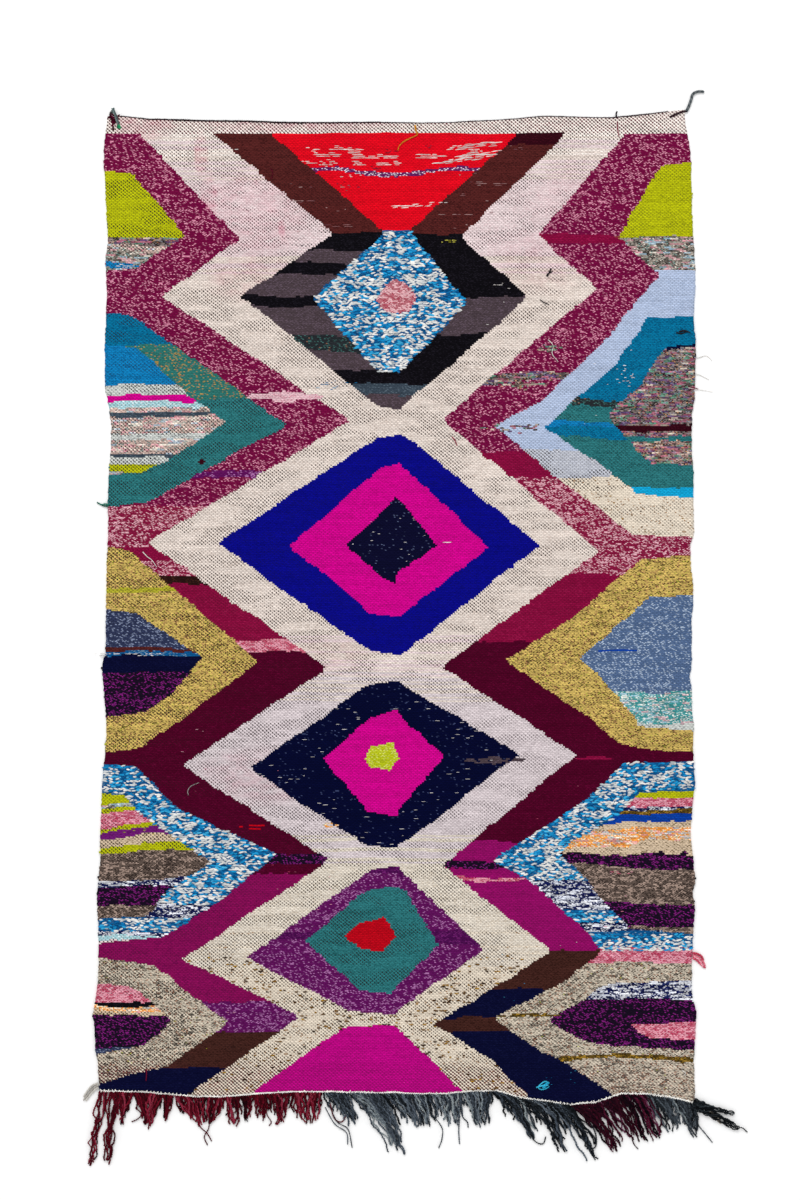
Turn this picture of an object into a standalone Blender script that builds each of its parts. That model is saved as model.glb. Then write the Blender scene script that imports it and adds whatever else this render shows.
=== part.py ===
"""Boucherouite rug, laid flat: a rag-woven cloth with an uneven outline, a dark twined
cord along its header, a white twined cord and a long cut fringe along its lower end,
a twisted warp tie and a knot at its upper corners, and weft ends out of its sides.

Metres, +X to the rug's right, +Y towards its header, +Z up. The origin is the middle
of the rug's whole reach, fringe included, on the floor that it lies on.
"""

import math
import random

import bmesh
import bpy
from mathutils import Vector
from mathutils.bvhtree import BVHTree

# Cloth: about 1.45 m by 2.41 m, its thickness in long low waves.
HEADER_Y = 1.27
WOVEN_LENGTH = 2.39
CLOTH_TOP = 0.0055
CLOTH_WAVE = 0.0009
RIM_DROP = 0.0013
COLUMNS = 24
ROWS = 20

# Cords and backing strips along the cloth's ends, each beside the next.
TOUCH_GAP = 0.0003
TWINING_RADIUS = 0.002
BACKING_DEPTH = 0.004
BACKING_HEIGHT = 0.004

# Fringe: warp ends in locks, level on the floor.
STRANDS_PER_COLUMN = 5
ROOT_SHARE = 0.72
TIP_SHARE = 0.62
STRAND_STEPS = 5
STRAND_TIP_HEIGHT = 0.0025
LENGTH_SPREAD = 0.05
FRINGE_SEED = 7

# Corner tie: a limp two-ply end of 7 mm.
TIE_RADIUS = 0.0035
TIE_STEPS = 40
TIE_SIDES = 8
TIE_TURNS = 3.0
PLY_DEPTH = 0.16

# Corner knot: a flat wad that lies on the cloth's corner.
KNOT_CENTRE = (-0.742, 1.268)
KNOT_HALF_SIZE = (0.015, 0.025, 0.006)
KNOT_TURN = math.radians(22)
KNOT_FLAT_BELOW = 0.4
KNOT_LOBES = 3
KNOT_LOBE_DEPTH = 0.16

# Corner bundle: two thick ropes of warp ends off the lower right corner.
BUNDLE_BACKING_WIDTH = 0.010
BUNDLE_ROOT_WIDTH = 0.011
BUNDLE_SPLIT = 0.001
BUNDLE_ABOVE_CORNER = 0.010
BUNDLE_GAP = 0.0009
BUNDLE_TIP_WIDTH = 0.0065
BUNDLE_HEIGHT = 0.007
BUNDLE_TIPS = ((0.773, -1.163), (0.807, -1.217))

COLLECTION_NAME = "boucherouite_rug"
YARN_ROUGHNESS = 0.9

# Each side edge: place along the rug, then how far out the selvedge runs there.
LEFT_EDGE = (
    (-1.120, -0.785),
    (-0.900, -0.784),
    (-0.740, -0.786),
    (-0.545, -0.780),
    (-0.300, -0.764),
    (-0.150, -0.771),
    (0.190, -0.768),
    (0.385, -0.758),
    (0.830, -0.758),
    (1.150, -0.767),
    (1.240, -0.766),
    (1.270, -0.757),
)
RIGHT_EDGE = (
    (-1.140, 0.680),
    (-0.935, 0.688),
    (-0.745, 0.677),
    (-0.560, 0.669),
    (-0.200, 0.672),
    (0.350, 0.677),
    (0.710, 0.681),
    (1.060, 0.669),
    (1.190, 0.669),
    (1.240, 0.657),
    (1.290, 0.658),
)

# Each end: place across the rug, then how far along the end runs there.
HEADER_EDGE = (
    (-0.757, 1.274),
    (-0.655, 1.274),
    (-0.290, 1.263),
    (-0.020, 1.263),
    (0.200, 1.270),
    (0.305, 1.279),
    (0.470, 1.274),
    (0.600, 1.283),
    (0.658, 1.288),
)
LOWER_EDGE = (
    (-0.785, -1.113),
    (-0.680, -1.118),
    (-0.520, -1.131),
    (-0.290, -1.117),
    (-0.090, -1.119),
    (0.050, -1.122),
    (0.180, -1.112),
    (0.290, -1.134),
    (0.400, -1.143),
    (0.510, -1.114),
    (0.580, -1.116),
    (0.680, -1.138),
)

# Fringe runs: name, first and last column of the cloth, colour.
FRINGE_RUNS = (
    ("fringe_red_left", 0, 9, (0.085, 0.010, 0.016)),
    ("fringe_grey_middle", 9, 19, (0.060, 0.075, 0.085)),
    ("fringe_red_right", 19, 22, (0.060, 0.009, 0.016)),
    ("fringe_grey_right", 22, 24, (0.058, 0.074, 0.083)),
)

# Locks from left to right: strands, where the tip's middle lies across the rug,
# how far the lock reaches from its backing, and how wide its tip is.
LOCKS = (
    (2, -0.796, 0.172, 0.010),
    (2, -0.762, 0.166, 0.012),
    (4, -0.718, 0.076, 0.020),
    (6, -0.658, 0.084, 0.026),
    (2, -0.614, 0.062, 0.010),
    (9, -0.533, 0.066, 0.072),
    (3, -0.449, 0.074, 0.018),
    (3, -0.413, 0.066, 0.012),
    (4, -0.376, 0.070, 0.022),
    (5, -0.328, 0.074, 0.034),
    (5, -0.256, 0.072, 0.044),
    (5, -0.152, 0.078, 0.030),
    (7, -0.050, 0.142, 0.036),
    (10, 0.006, 0.078, 0.088),
    (6, 0.086, 0.076, 0.054),
    (6, 0.158, 0.086, 0.036),
    (6, 0.276, 0.104, 0.030),
    (5, 0.353, 0.126, 0.026),
    (5, 0.424, 0.136, 0.030),
    (6, 0.472, 0.104, 0.044),
    (9, 0.548, 0.108, 0.084),
    (5, 0.617, 0.080, 0.034),
    (5, 0.690, 0.096, 0.042),
)

# Route of the corner tie from the cloth's corner to its free end.
TIE_ROUTE = (
    (0.6580, 1.2884),
    (0.6620, 1.2960),
    (0.6660, 1.3060),
    (0.6700, 1.3180),
    (0.6730, 1.3290),
    (0.6810, 1.3350),
    (0.6920, 1.3370),
    (0.7010, 1.3360),
)

# Weft ends out of the sides: name, side, place along, root width, tip, height, colour.
WEFT_TIP_SHARE = 0.35
WEFT_ENDS = (
    ("pink_tail", 1, -0.779, 0.020, (0.707, -0.810), 0.004, (0.55, 0.06, 0.12)),
    ("green_tail", -1, 0.322, 0.009, (-0.786, 0.331), 0.003, (0.02, 0.20, 0.15)),
    ("grey_tail", -1, -1.098, 0.014, (-0.820, -1.135), 0.003, (0.45, 0.45, 0.45)),
)


def eased(table, place):
    """Value of a two-column table at a place, eased between its rows."""
    if place <= table[0][0]:
        return table[0][1]
    for (start, low), (end, high) in zip(table, table[1:]):
        if place <= end:
            share = (place - start) / (end - start)
            share = share * share * (3 - 2 * share)
            return low + (high - low) * share
    return table[-1][1]


def fabric(name, colour):
    """A plain matt yarn material."""
    material = bpy.data.materials.new(name)
    material.use_nodes = True
    shader = material.node_tree.nodes["Principled BSDF"]
    shader.inputs["Base Color"].default_value = (*colour, 1.0)
    shader.inputs["Roughness"].default_value = YARN_ROUGHNESS
    shader.inputs["Metallic"].default_value = 0.0
    return material


def add_object(name, mesh, material, home):
    """Put a mesh in the rug's collection under its empty."""
    thing = bpy.data.objects.new(name, mesh)
    mesh.materials.append(material)
    home["collection"].objects.link(thing)
    thing.parent = home["empty"]
    return thing


def finished_mesh(name, bm):
    """Turn a closed bmesh into a mesh with its faces pointing out."""
    bmesh.ops.recalc_face_normals(bm, faces=bm.faces)
    mesh = bpy.data.meshes.new(name)
    bm.to_mesh(mesh)
    bm.free()
    return mesh


def bridge(bm, ring, next_ring, skip=()):
    """Join two rings of points with a band of faces."""
    count = len(ring)
    for i in range(count):
        if i in skip:
            continue
        j = (i + 1) % count
        bm.faces.new((ring[i], ring[j], next_ring[j], next_ring[i]))


def edge_point(column, along):
    """A point of the cloth: column counts across it, along is 0 at the header end."""
    across = column / COLUMNS
    down = HEADER_Y - WOVEN_LENGTH * along
    left = eased(LEFT_EDGE, down)
    right = eased(RIGHT_EDGE, down)
    x = left + (right - left) * across
    header = eased(HEADER_EDGE, x)
    lower = eased(LOWER_EDGE, x)
    return Vector((x, header + (lower - header) * along, 0.0))


def offset_line(points, distance):
    """A line beside another one, on its right-hand side, mitred at its corners."""
    moved = []
    for i, point in enumerate(points):
        before = (point - points[i - 1]).normalized() if i else None
        after = (points[i + 1] - point).normalized() if i + 1 < len(points) else None
        before = before or after
        after = after or before
        middle = (before + after).normalized()
        side = Vector((middle.y, -middle.x, 0.0))
        moved.append(point + side * (distance / middle.dot(after)))
    return moved


def selvedge_x(column, y):
    """Where a side of the cloth runs at a place along the rug."""
    points = [edge_point(column, row / ROWS) for row in range(ROWS + 1)]
    for above, below in zip(points, points[1:]):
        if below.y <= y <= above.y:
            return above.lerp(below, (above.y - y) / (above.y - below.y)).x
    return points[-1].x


def woven_cloth(home):
    """The rag cloth: flat below, its top in long low waves, thinner at its rim."""
    bm = bmesh.new()
    bmesh.ops.create_grid(bm, x_segments=COLUMNS, y_segments=ROWS, size=0.5)
    top_of = {}
    for vert in bm.verts:
        column = round((vert.co.x + 0.5) * COLUMNS)
        along = round((0.5 - vert.co.y) * ROWS) / ROWS
        vert.co = edge_point(column, along)
        wave = math.sin(vert.co.x * 7.1 + 0.6) * math.sin(vert.co.y * 5.3 + 1.1)
        wave += 0.4 * math.sin(vert.co.x * 17.0 + vert.co.y * 11.0)
        at_rim = column in (0, COLUMNS) or along in (0.0, 1.0)
        top_of[tuple(vert.co)] = CLOTH_TOP + CLOTH_WAVE * wave - RIM_DROP * at_rim
    bottom = list(bm.faces)
    raised = bmesh.ops.extrude_face_region(bm, geom=bottom)["geom"]
    for vert in raised:
        if isinstance(vert, bmesh.types.BMVert):
            vert.co.z = top_of[tuple(vert.co)]
    mesh = finished_mesh("woven_cloth", bm)
    mesh.shade_smooth()
    mesh.set_sharp_from_angle(angle=math.radians(40))
    return add_object("woven_cloth", mesh, fabric("woven_rags", (0.22, 0.02, 0.06)), home)


def edge_cord(name, line, colour, home):
    """A thin cord along a line of points, resting on the floor."""
    curve = bpy.data.curves.new(name, "CURVE")
    curve.dimensions = "3D"
    curve.bevel_depth = TWINING_RADIUS
    curve.bevel_resolution = 1
    curve.use_fill_caps = True
    spline = curve.splines.new("POLY")
    spline.points.add(len(line) - 1)
    for point, place in zip(spline.points, line):
        point.co = (place.x, place.y, TWINING_RADIUS, 1.0)
    add_object(name, curve, fabric(name + "_yarn", colour), home)


def strand(bm, root, centre, tip, direction, tip_width, heights):
    """Loft one strand out of its root face towards its tip, level on the floor."""
    ring = root
    root_width = (root[3].co - root[0].co).length
    for step in range(1, STRAND_STEPS + 1):
        share = step / STRAND_STEPS
        reach = Vector((share**1.15, share, 0.0))
        if abs(direction.y) > abs(direction.x):
            reach = Vector((share, share**1.15, 0.0))
        middle = Vector(
            (
                centre.x + (tip[0] - centre.x) * reach.x,
                centre.y + (tip[1] - centre.y) * reach.y,
                0.0,
            )
        )
        half = direction * (root_width + (tip_width - root_width) * share) / 2
        height = Vector((0, 0, heights[0] + (heights[1] - heights[0]) * share))
        corners = (
            middle - half,
            middle - half + height,
            middle + half + height,
            middle + half,
        )
        next_ring = [bm.verts.new(corner) for corner in corners]
        bridge(bm, ring, next_ring)
        ring = next_ring
    bm.faces.new(ring)


def backed_strands(name, inner, outer, strands, height, colour, home):
    """A backing strip between two lines of points, with strands out of its outer side.

    strands maps a cell of the strip to its tip and its tip's width.
    """
    bm = bmesh.new()
    up = Vector((0, 0, height))
    rings = []
    for near, far in zip(inner, outer):
        corners = (near, near + up, far + up, far)
        rings.append([bm.verts.new(corner) for corner in corners])
    bm.faces.new(rings[0])
    bm.faces.new(rings[-1])
    for cell in range(len(rings) - 1):
        ring = rings[cell]
        next_ring = rings[cell + 1]
        if cell not in strands:
            bridge(bm, ring, next_ring)
            continue
        bridge(bm, ring, next_ring, skip=(2,))
        tip, tip_width = strands[cell]
        root = [ring[3], ring[2], next_ring[2], next_ring[3]]
        along = next_ring[3].co - ring[3].co
        direction = Vector((1, 0, 0)) if abs(along.x) > abs(along.y) else Vector((0, -1, 0))
        centre = (ring[3].co + next_ring[3].co) / 2
        heights = (height, STRAND_TIP_HEIGHT)
        strand(bm, root, centre, tip, direction, tip_width, heights)
    mesh = finished_mesh(name, bm)
    add_object(name, mesh, fabric(name + "_yarn", colour), home)


def fringe(lower_line, home):
    """The cut warp ends, in colour runs, each run on its own backing strip."""
    random.seed(FRINGE_SEED)
    clear = 2 * (TWINING_RADIUS + TOUCH_GAP)
    inner_line = offset_line(lower_line, clear)
    outer_line = offset_line(lower_line, clear + BACKING_DEPTH)
    tips = []
    for count, tip_x, drop, tip_width in LOCKS:
        for k in range(count):
            across = tip_x + tip_width * ((k + 0.5) / count - 0.5)
            length = drop * (1 + random.uniform(-LENGTH_SPREAD, LENGTH_SPREAD))
            tips.append((across, length, tip_width / count * TIP_SHARE))
    edge = (1 - ROOT_SHARE) / 2
    for name, first, last, colour in FRINGE_RUNS:
        inner = []
        outer = []
        strands = {}
        for column in range(first, last):
            run = (inner_line[column + 1] - inner_line[column]).length
            inset = TOUCH_GAP / 2 / run if column == first else 0.0
            shares = [inset]
            for k in range(STRANDS_PER_COLUMN):
                shares.append((k + edge) / STRANDS_PER_COLUMN)
                shares.append((k + 1 - edge) / STRANDS_PER_COLUMN)
            if column == last - 1:
                shares.append(1.0 - TOUCH_GAP / 2 / run)
            for k, share in enumerate(shares):
                if k % 2 and k < 2 * STRANDS_PER_COLUMN:
                    number = column * STRANDS_PER_COLUMN + k // 2
                    tip_x, length, width = tips[number]
                    root = outer_line[column].lerp(outer_line[column + 1], share)
                    strands[len(inner)] = ((tip_x, root.y - length), width)
                inner.append(inner_line[column].lerp(inner_line[column + 1], share))
                outer.append(outer_line[column].lerp(outer_line[column + 1], share))
        backed_strands(name, inner, outer, strands, BACKING_HEIGHT, colour, home)


def corner_bundle(lower_line, home):
    """Two thick warp bundles that run off the lower right corner."""
    corner = lower_line[-1]
    near_x = corner.x + BUNDLE_GAP
    far_x = near_x + BUNDLE_BACKING_WIDTH
    top = corner.y + BUNDLE_ABOVE_CORNER
    rows = (
        top,
        top - BUNDLE_ROOT_WIDTH,
        top - BUNDLE_ROOT_WIDTH - BUNDLE_SPLIT,
        top - 2 * BUNDLE_ROOT_WIDTH - BUNDLE_SPLIT,
    )
    inner = [Vector((near_x, y, 0)) for y in rows]
    outer = [Vector((far_x, y, 0)) for y in rows]
    strands = {0: (BUNDLE_TIPS[0], BUNDLE_TIP_WIDTH), 2: (BUNDLE_TIPS[1], BUNDLE_TIP_WIDTH)}
    grey = (0.055, 0.065, 0.070)
    backed_strands("corner_bundle", inner, outer, strands, BUNDLE_HEIGHT, grey, home)


def smooth_route(points, steps):
    """Evenly numbered places on a Catmull-Rom curve through the points."""
    points = [Vector(point) for point in points]
    padded = [2 * points[0] - points[1], *points, 2 * points[-1] - points[-2]]
    spans = len(points) - 1
    places = []
    for step in range(steps + 1):
        at = step / steps * spans
        i = min(int(at), spans - 1)
        t = at - i
        a, b, c, d = padded[i : i + 4]
        squared = (2 * a - 5 * b + 4 * c - d) * t**2
        cubed = (3 * b - a - 3 * c + d) * t**3
        place = 0.5 * (2 * b + (c - a) * t + squared + cubed)
        places.append(Vector((place.x, place.y, 0.0)))
    return places


def corner_tie(home):
    """The twisted warp end: two plies wound round each other, lying on the floor."""
    places = smooth_route(TIE_ROUTE, TIE_STEPS)
    bm = bmesh.new()
    rings = []
    for i, place in enumerate(places):
        ahead = places[min(i + 1, TIE_STEPS)]
        behind = places[max(i - 1, 0)]
        forward = (ahead - behind).normalized()
        side = Vector((forward.y, -forward.x, 0.0))
        twist = 2 * math.pi * TIE_TURNS * i / TIE_STEPS
        ring = []
        for k in range(TIE_SIDES):
            angle = 2 * math.pi * k / TIE_SIDES
            lobe = 1 - PLY_DEPTH + PLY_DEPTH * math.cos(2 * (angle - twist))
            reach = side * math.cos(angle) + Vector((0, 0, 1)) * math.sin(angle)
            centre = place + Vector((0, 0, TIE_RADIUS))
            ring.append(bm.verts.new(centre + reach * TIE_RADIUS * lobe))
        if rings:
            bridge(bm, rings[-1], ring)
        rings.append(ring)
    bm.faces.new(rings[0])
    bm.faces.new(rings[-1])
    mesh = finished_mesh("corner_tie", bm)
    mesh.shade_smooth()
    add_object("corner_tie", mesh, fabric("tie_yarn", (0.20, 0.21, 0.21)), home)


def corner_knot(cloth, home):
    """A flat three-lobed wad of yarn, seated on the cloth's corner."""
    bm = bmesh.new()
    bmesh.ops.create_icosphere(bm, subdivisions=3, radius=1.0)
    width, length, height = KNOT_HALF_SIZE
    cos_turn = math.cos(KNOT_TURN)
    sin_turn = math.sin(KNOT_TURN)
    for vert in bm.verts:
        x, y, z = vert.co
        lobe = 1 + KNOT_LOBE_DEPTH * math.cos(KNOT_LOBES * math.pi * y) * (1 - abs(y))
        x *= width * lobe
        y *= length
        vert.co.x = KNOT_CENTRE[0] + x * cos_turn - y * sin_turn
        vert.co.y = KNOT_CENTRE[1] + x * sin_turn + y * cos_turn
        vert.co.z = (max(z, -KNOT_FLAT_BELOW) + KNOT_FLAT_BELOW) * height
    surface = BVHTree.FromPolygons(
        [vert.co for vert in cloth.data.vertices],
        [face.vertices for face in cloth.data.polygons],
    )
    seat = 0.0
    for vert in bm.verts:
        above = Vector((vert.co.x, vert.co.y, 1.0))
        hit = surface.ray_cast(above, Vector((0, 0, -1)))[0]
        if hit:
            seat = max(seat, hit.z)
    bmesh.ops.translate(bm, verts=bm.verts, vec=(0, 0, seat + TOUCH_GAP))
    mesh = finished_mesh("corner_knot", bm)
    mesh.shade_smooth()
    mesh.set_sharp_from_angle(angle=math.radians(50))
    add_object("corner_knot", mesh, fabric("knot_yarn", (0.06, 0.05, 0.05)), home)


def weft_end(name, side, along, root_width, tip, height, colour, home):
    """One flat weft end that starts at a side edge and lies on the floor."""
    column = 0 if side < 0 else COLUMNS
    half = root_width / 2
    reaches = [side * selvedge_x(column, along + shift) for shift in (-half, 0.0, half)]
    near = side * (max(reaches) + TOUCH_GAP)
    bm = bmesh.new()
    root = []
    for y in (along + half, along - half):
        pair = [bm.verts.new((near, y, 0)), bm.verts.new((near, y, height))]
        root += pair if not root else pair[::-1]
    bm.faces.new(root)
    centre = Vector((near, along, 0))
    tip_width = root_width * WEFT_TIP_SHARE
    strand(bm, root, centre, tip, Vector((0, -1, 0)), tip_width, (height, STRAND_TIP_HEIGHT))
    mesh = finished_mesh(name, bm)
    add_object(name, mesh, fabric(name + "_yarn", colour), home)


def clear_scene():
    """Start from a scene with nothing in it."""
    for thing in list(bpy.data.objects):
        bpy.data.objects.remove(thing, do_unlink=True)


def build_rug():
    """Make every piece of the rug where it lies."""
    clear_scene()
    collection = bpy.data.collections.new(COLLECTION_NAME)
    bpy.context.scene.collection.children.link(collection)
    empty = bpy.data.objects.new("rug_origin", None)
    collection.objects.link(empty)
    home = {"collection": collection, "empty": empty}

    lower_line = [edge_point(column, 1.0) for column in range(COLUMNS + 1)]
    header_line = [edge_point(column, 0.0) for column in range(COLUMNS, -1, -1)]
    cord_offset = TWINING_RADIUS + TOUCH_GAP

    cloth = woven_cloth(home)
    dark = (0.020, 0.018, 0.020)
    white = (0.72, 0.70, 0.66)
    header_cord = offset_line(header_line, cord_offset)[1:-1]
    edge_cord("top_twining", header_cord, dark, home)
    edge_cord("end_twining", offset_line(lower_line, cord_offset), white, home)
    fringe(lower_line, home)
    corner_bundle(lower_line, home)
    corner_tie(home)
    corner_knot(cloth, home)
    for row in WEFT_ENDS:
        weft_end(*row, home)


build_rug()
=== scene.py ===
"""Boucherouite rug: its looks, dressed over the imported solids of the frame.

The rug lies flat on a pale floor and the camera looks straight down on it. Metres, +X to
the rug's right, +Y towards its ivory header, +Z up. The woven pattern is charted in
centimetres from the same origin, as a weaver would lay it out.
"""

import math
import random

import bpy
import numpy as np
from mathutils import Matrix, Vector, noise
from mathutils.bvhtree import BVHTree


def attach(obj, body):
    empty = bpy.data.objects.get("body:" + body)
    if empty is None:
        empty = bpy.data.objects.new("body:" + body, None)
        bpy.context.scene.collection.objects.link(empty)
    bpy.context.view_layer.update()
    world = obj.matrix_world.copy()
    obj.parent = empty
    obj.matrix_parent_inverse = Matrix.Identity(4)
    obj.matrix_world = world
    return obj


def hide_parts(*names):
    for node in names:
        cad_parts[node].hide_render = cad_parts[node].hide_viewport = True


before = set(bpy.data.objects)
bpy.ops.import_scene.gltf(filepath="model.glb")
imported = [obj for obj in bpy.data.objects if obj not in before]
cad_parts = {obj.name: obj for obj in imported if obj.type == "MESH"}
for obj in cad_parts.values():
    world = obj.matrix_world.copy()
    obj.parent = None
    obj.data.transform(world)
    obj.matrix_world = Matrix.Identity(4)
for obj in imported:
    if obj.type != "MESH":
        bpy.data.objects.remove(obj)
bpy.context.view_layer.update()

# The photograph is taken straight down, from high above the middle of the rug, with a
# long lens, so that the rug's sides stay straight and nothing leans.
CAMERA_ABOVE = (-0.0429, 0.0919)
CAMERA_HEIGHT = 6.94
CAMERA_LENS = 85.0
CAMERA_GATE = 36.0

camera = bpy.data.cameras.new("camera")
camera.sensor_fit = "VERTICAL"
camera.sensor_height = CAMERA_GATE
camera.lens = CAMERA_LENS
viewpoint = bpy.data.objects.new("viewpoint", camera)
viewpoint.location = (*CAMERA_ABOVE, CAMERA_HEIGHT)
bpy.context.scene.collection.objects.link(viewpoint)
bpy.context.scene.camera = viewpoint


# Corner tie: the last warp ends of the upper right corner, twisted by hand into a limp
# two-ply end of grey and pale wool, which curls out of the corner and stops bare.
TIE_ROUTE = (
    (0.6580, 1.2884),
    (0.6620, 1.2960),
    (0.6660, 1.3060),
    (0.6700, 1.3180),
    (0.6730, 1.3290),
    (0.6810, 1.3350),
    (0.6920, 1.3370),
    (0.7010, 1.3360),
)
TIE_HEIGHT = 0.0035
TIE_DIAMETER = 0.007
TIE_STEPS = 90
TIE_PITCH = 0.011
GREY_WOOL = "4d5458"
PALE_WOOL = "b9b9b4"


def dye(code):
    """A dyer's hex code as linear colour."""
    channels = []
    for start in (0, 2, 4):
        value = int(code[start : start + 2], 16) / 255
        channels.append(value / 12.92 if value < 0.04045 else ((value + 0.055) / 1.055) ** 2.4)
    return (*channels, 1.0)


def eased_route(points, steps):
    """A smooth line through points, cut into equal steps."""
    points = np.array(points, float)
    padded = np.vstack([2 * points[0] - points[1], points, 2 * points[-1] - points[-2]])
    dense = []
    for i in range(len(points) - 1):
        a, b, c, d = padded[i : i + 4]
        for t in np.linspace(0, 1, 16, endpoint=False):
            dense.append(
                b
                + 0.5 * t * (c - a)
                + t**2 * (a - 2.5 * b + 2 * c - 0.5 * d)
                + t**3 * (-0.5 * a + 1.5 * b - 1.5 * c + 0.5 * d)
            )
    dense.append(points[-1])
    dense = np.array(dense)
    run = np.concatenate([[0], np.cumsum(np.linalg.norm(np.diff(dense, axis=0), axis=1))])
    places = np.linspace(0, run[-1], steps + 1)
    return np.stack([np.interp(places, run, dense[:, k]) for k in range(3)], axis=1)


class Skein:
    """Collects tubes of yarn and makes them one mesh, each with its own shade."""

    def __init__(self):
        self.points = []
        self.faces = []
        self.shades = []
        self.count = 0

    def tube(self, line, radii, shade, sides=5):
        """Add one closed tube along a line; the radius runs along it, or is one number."""
        line = np.asarray(line, float)
        steps = len(line)
        radii = np.broadcast_to(np.asarray(radii, float), (steps,))
        along = np.gradient(line, axis=0)
        along /= np.maximum(np.linalg.norm(along, axis=1, keepdims=True), 1e-9)
        up = np.tile([0.0, 0.0, 1.0], (steps, 1))
        steep = np.abs(along[:, 2]) > 0.9
        up[steep] = [1.0, 0.0, 0.0]
        side = np.cross(along, up)
        side /= np.linalg.norm(side, axis=1, keepdims=True)
        over = np.cross(side, along)
        angles = np.arange(sides) * 2 * math.pi / sides
        ring = (
            side[:, None, :] * np.cos(angles)[None, :, None]
            + over[:, None, :] * np.sin(angles)[None, :, None]
        )
        points = line[:, None, :] + ring * radii[:, None, None]
        base = self.count
        self.points.append(points.reshape(-1, 3))
        for step in range(steps - 1):
            low = base + step * sides
            high = low + sides
            for k in range(sides):
                n = (k + 1) % sides
                self.faces.append((low + k, high + k, high + n, low + n))
        self.faces.append(tuple(base + k for k in range(sides)))
        last = base + (steps - 1) * sides
        self.faces.append(tuple(last + k for k in reversed(range(sides))))
        self.shades.append(np.full(steps * sides, shade))
        self.count += steps * sides

    def twist(self, line, ply_radius, pitch, shades, sides=4, start=0.0, taper=1.0):
        """Add plies that wind round each other along a line."""
        line = np.asarray(line, float)
        run = np.concatenate([[0], np.cumsum(np.linalg.norm(np.diff(line, axis=0), axis=1))])
        along = np.gradient(line, axis=0)
        along /= np.maximum(np.linalg.norm(along, axis=1, keepdims=True), 1e-9)
        side = np.cross(along, [0.0, 0.0, 1.0])
        side /= np.maximum(np.linalg.norm(side, axis=1, keepdims=True), 1e-9)
        over = np.cross(side, along)
        width = ply_radius * np.linspace(1.0, taper, len(line))
        for ply, shade in enumerate(shades):
            turn = start + run / pitch * 2 * math.pi + ply * 2 * math.pi / len(shades)
            wound = (
                line
                + side * (np.cos(turn) * width)[:, None]
                + over * (np.sin(turn) * width)[:, None]
            )
            self.tube(wound, width, shade, sides)

    def piece(self, name, material):
        """Make the collected tubes one mesh object that rides on the rug."""
        return soft_piece(name, self.points, self.faces, self.shades, material)


def soft_piece(name, points, faces, shades, material):
    """One mesh object that rides on the rug, with a shade at each of its points."""
    mesh = bpy.data.meshes.new(name)
    mesh.from_pydata(np.concatenate(points).tolist(), [], faces)
    shade = mesh.attributes.new("shade", "FLOAT", "POINT")
    shade.data.foreach_set("value", np.concatenate(shades).astype(np.float32))
    mesh.polygons.foreach_set("use_smooth", [True] * len(mesh.polygons))
    mesh.materials.append(material)
    made = bpy.data.objects.new(name, mesh)
    bpy.context.scene.collection.objects.link(made)
    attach(made, "root")
    return made


def feed(tree, socket, value):
    """Give a socket a wire, or a fixed value."""
    if isinstance(value, Wire):
        tree.links.new(value.socket, socket)
    else:
        socket.default_value = value


def reckon(operation, turned_round=False):
    """One kind of arithmetic on wires, which adds a Math node."""

    def work(wire, *others):
        node = wire.tree.nodes.new("ShaderNodeMath")
        node.operation = operation
        values = (*others, wire) if turned_round else (wire, *others)
        for socket, value in zip(node.inputs, values):
            feed(wire.tree, socket, value)
        return Wire(wire.tree, node.outputs[0])

    return work


class Wire:
    """The output of a node in a finish; sums with it are worked out for every point."""

    def __init__(self, tree, socket):
        self.tree = tree
        self.socket = socket

    __add__ = __radd__ = reckon("ADD")
    __sub__ = reckon("SUBTRACT")
    __rsub__ = reckon("SUBTRACT", turned_round=True)
    __mul__ = __rmul__ = reckon("MULTIPLY")
    __truediv__ = reckon("DIVIDE")
    __rtruediv__ = reckon("DIVIDE", turned_round=True)
    __pow__ = reckon("POWER")
    __abs__ = reckon("ABSOLUTE")
    __lt__ = reckon("LESS_THAN")
    __gt__ = reckon("GREATER_THAN")
    floor = reckon("FLOOR")
    fract = reckon("FRACT")
    root = reckon("SQRT")
    rounded = reckon("ROUND")
    at_least = reckon("MAXIMUM")
    at_most = reckon("MINIMUM")

    def clamped(self, low=0.0, high=1.0):
        """The wire kept between two limits."""
        return self.at_least(low).at_most(high)


def layer(tree, share, under, over, kind="FLOAT"):
    """Lay one value or colour over another by a share."""
    node = tree.nodes.new("ShaderNodeMix")
    node.data_type = kind
    first = 6 if kind == "RGBA" else 2
    feed(tree, node.inputs[0], share)
    feed(tree, node.inputs[first], under)
    feed(tree, node.inputs[first + 1], over)
    return Wire(tree, node.outputs[2 if kind == "RGBA" else 0])


def shaded(tree, colour, factor):
    """A colour made lighter or darker by a factor."""
    node = tree.nodes.new("ShaderNodeMix")
    node.data_type = "RGBA"
    node.blend_type = "MULTIPLY"
    node.inputs[0].default_value = 1.0
    feed(tree, node.inputs[6], colour)
    feed(tree, node.inputs[7], factor)
    return Wire(tree, node.outputs[2])


def stretched(tree, place, scale):
    """A place stretched for a pattern."""
    mapping = tree.nodes.new("ShaderNodeMapping")
    mapping.inputs["Scale"].default_value = scale
    feed(tree, mapping.inputs["Vector"], place)
    return Wire(tree, mapping.outputs[0])


def object_place(tree, scale=(1.0, 1.0, 1.0)):
    """The place on the piece, stretched for a pattern."""
    coordinates = tree.nodes.new("ShaderNodeTexCoord")
    return stretched(tree, Wire(tree, coordinates.outputs["Object"]), scale)


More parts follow.
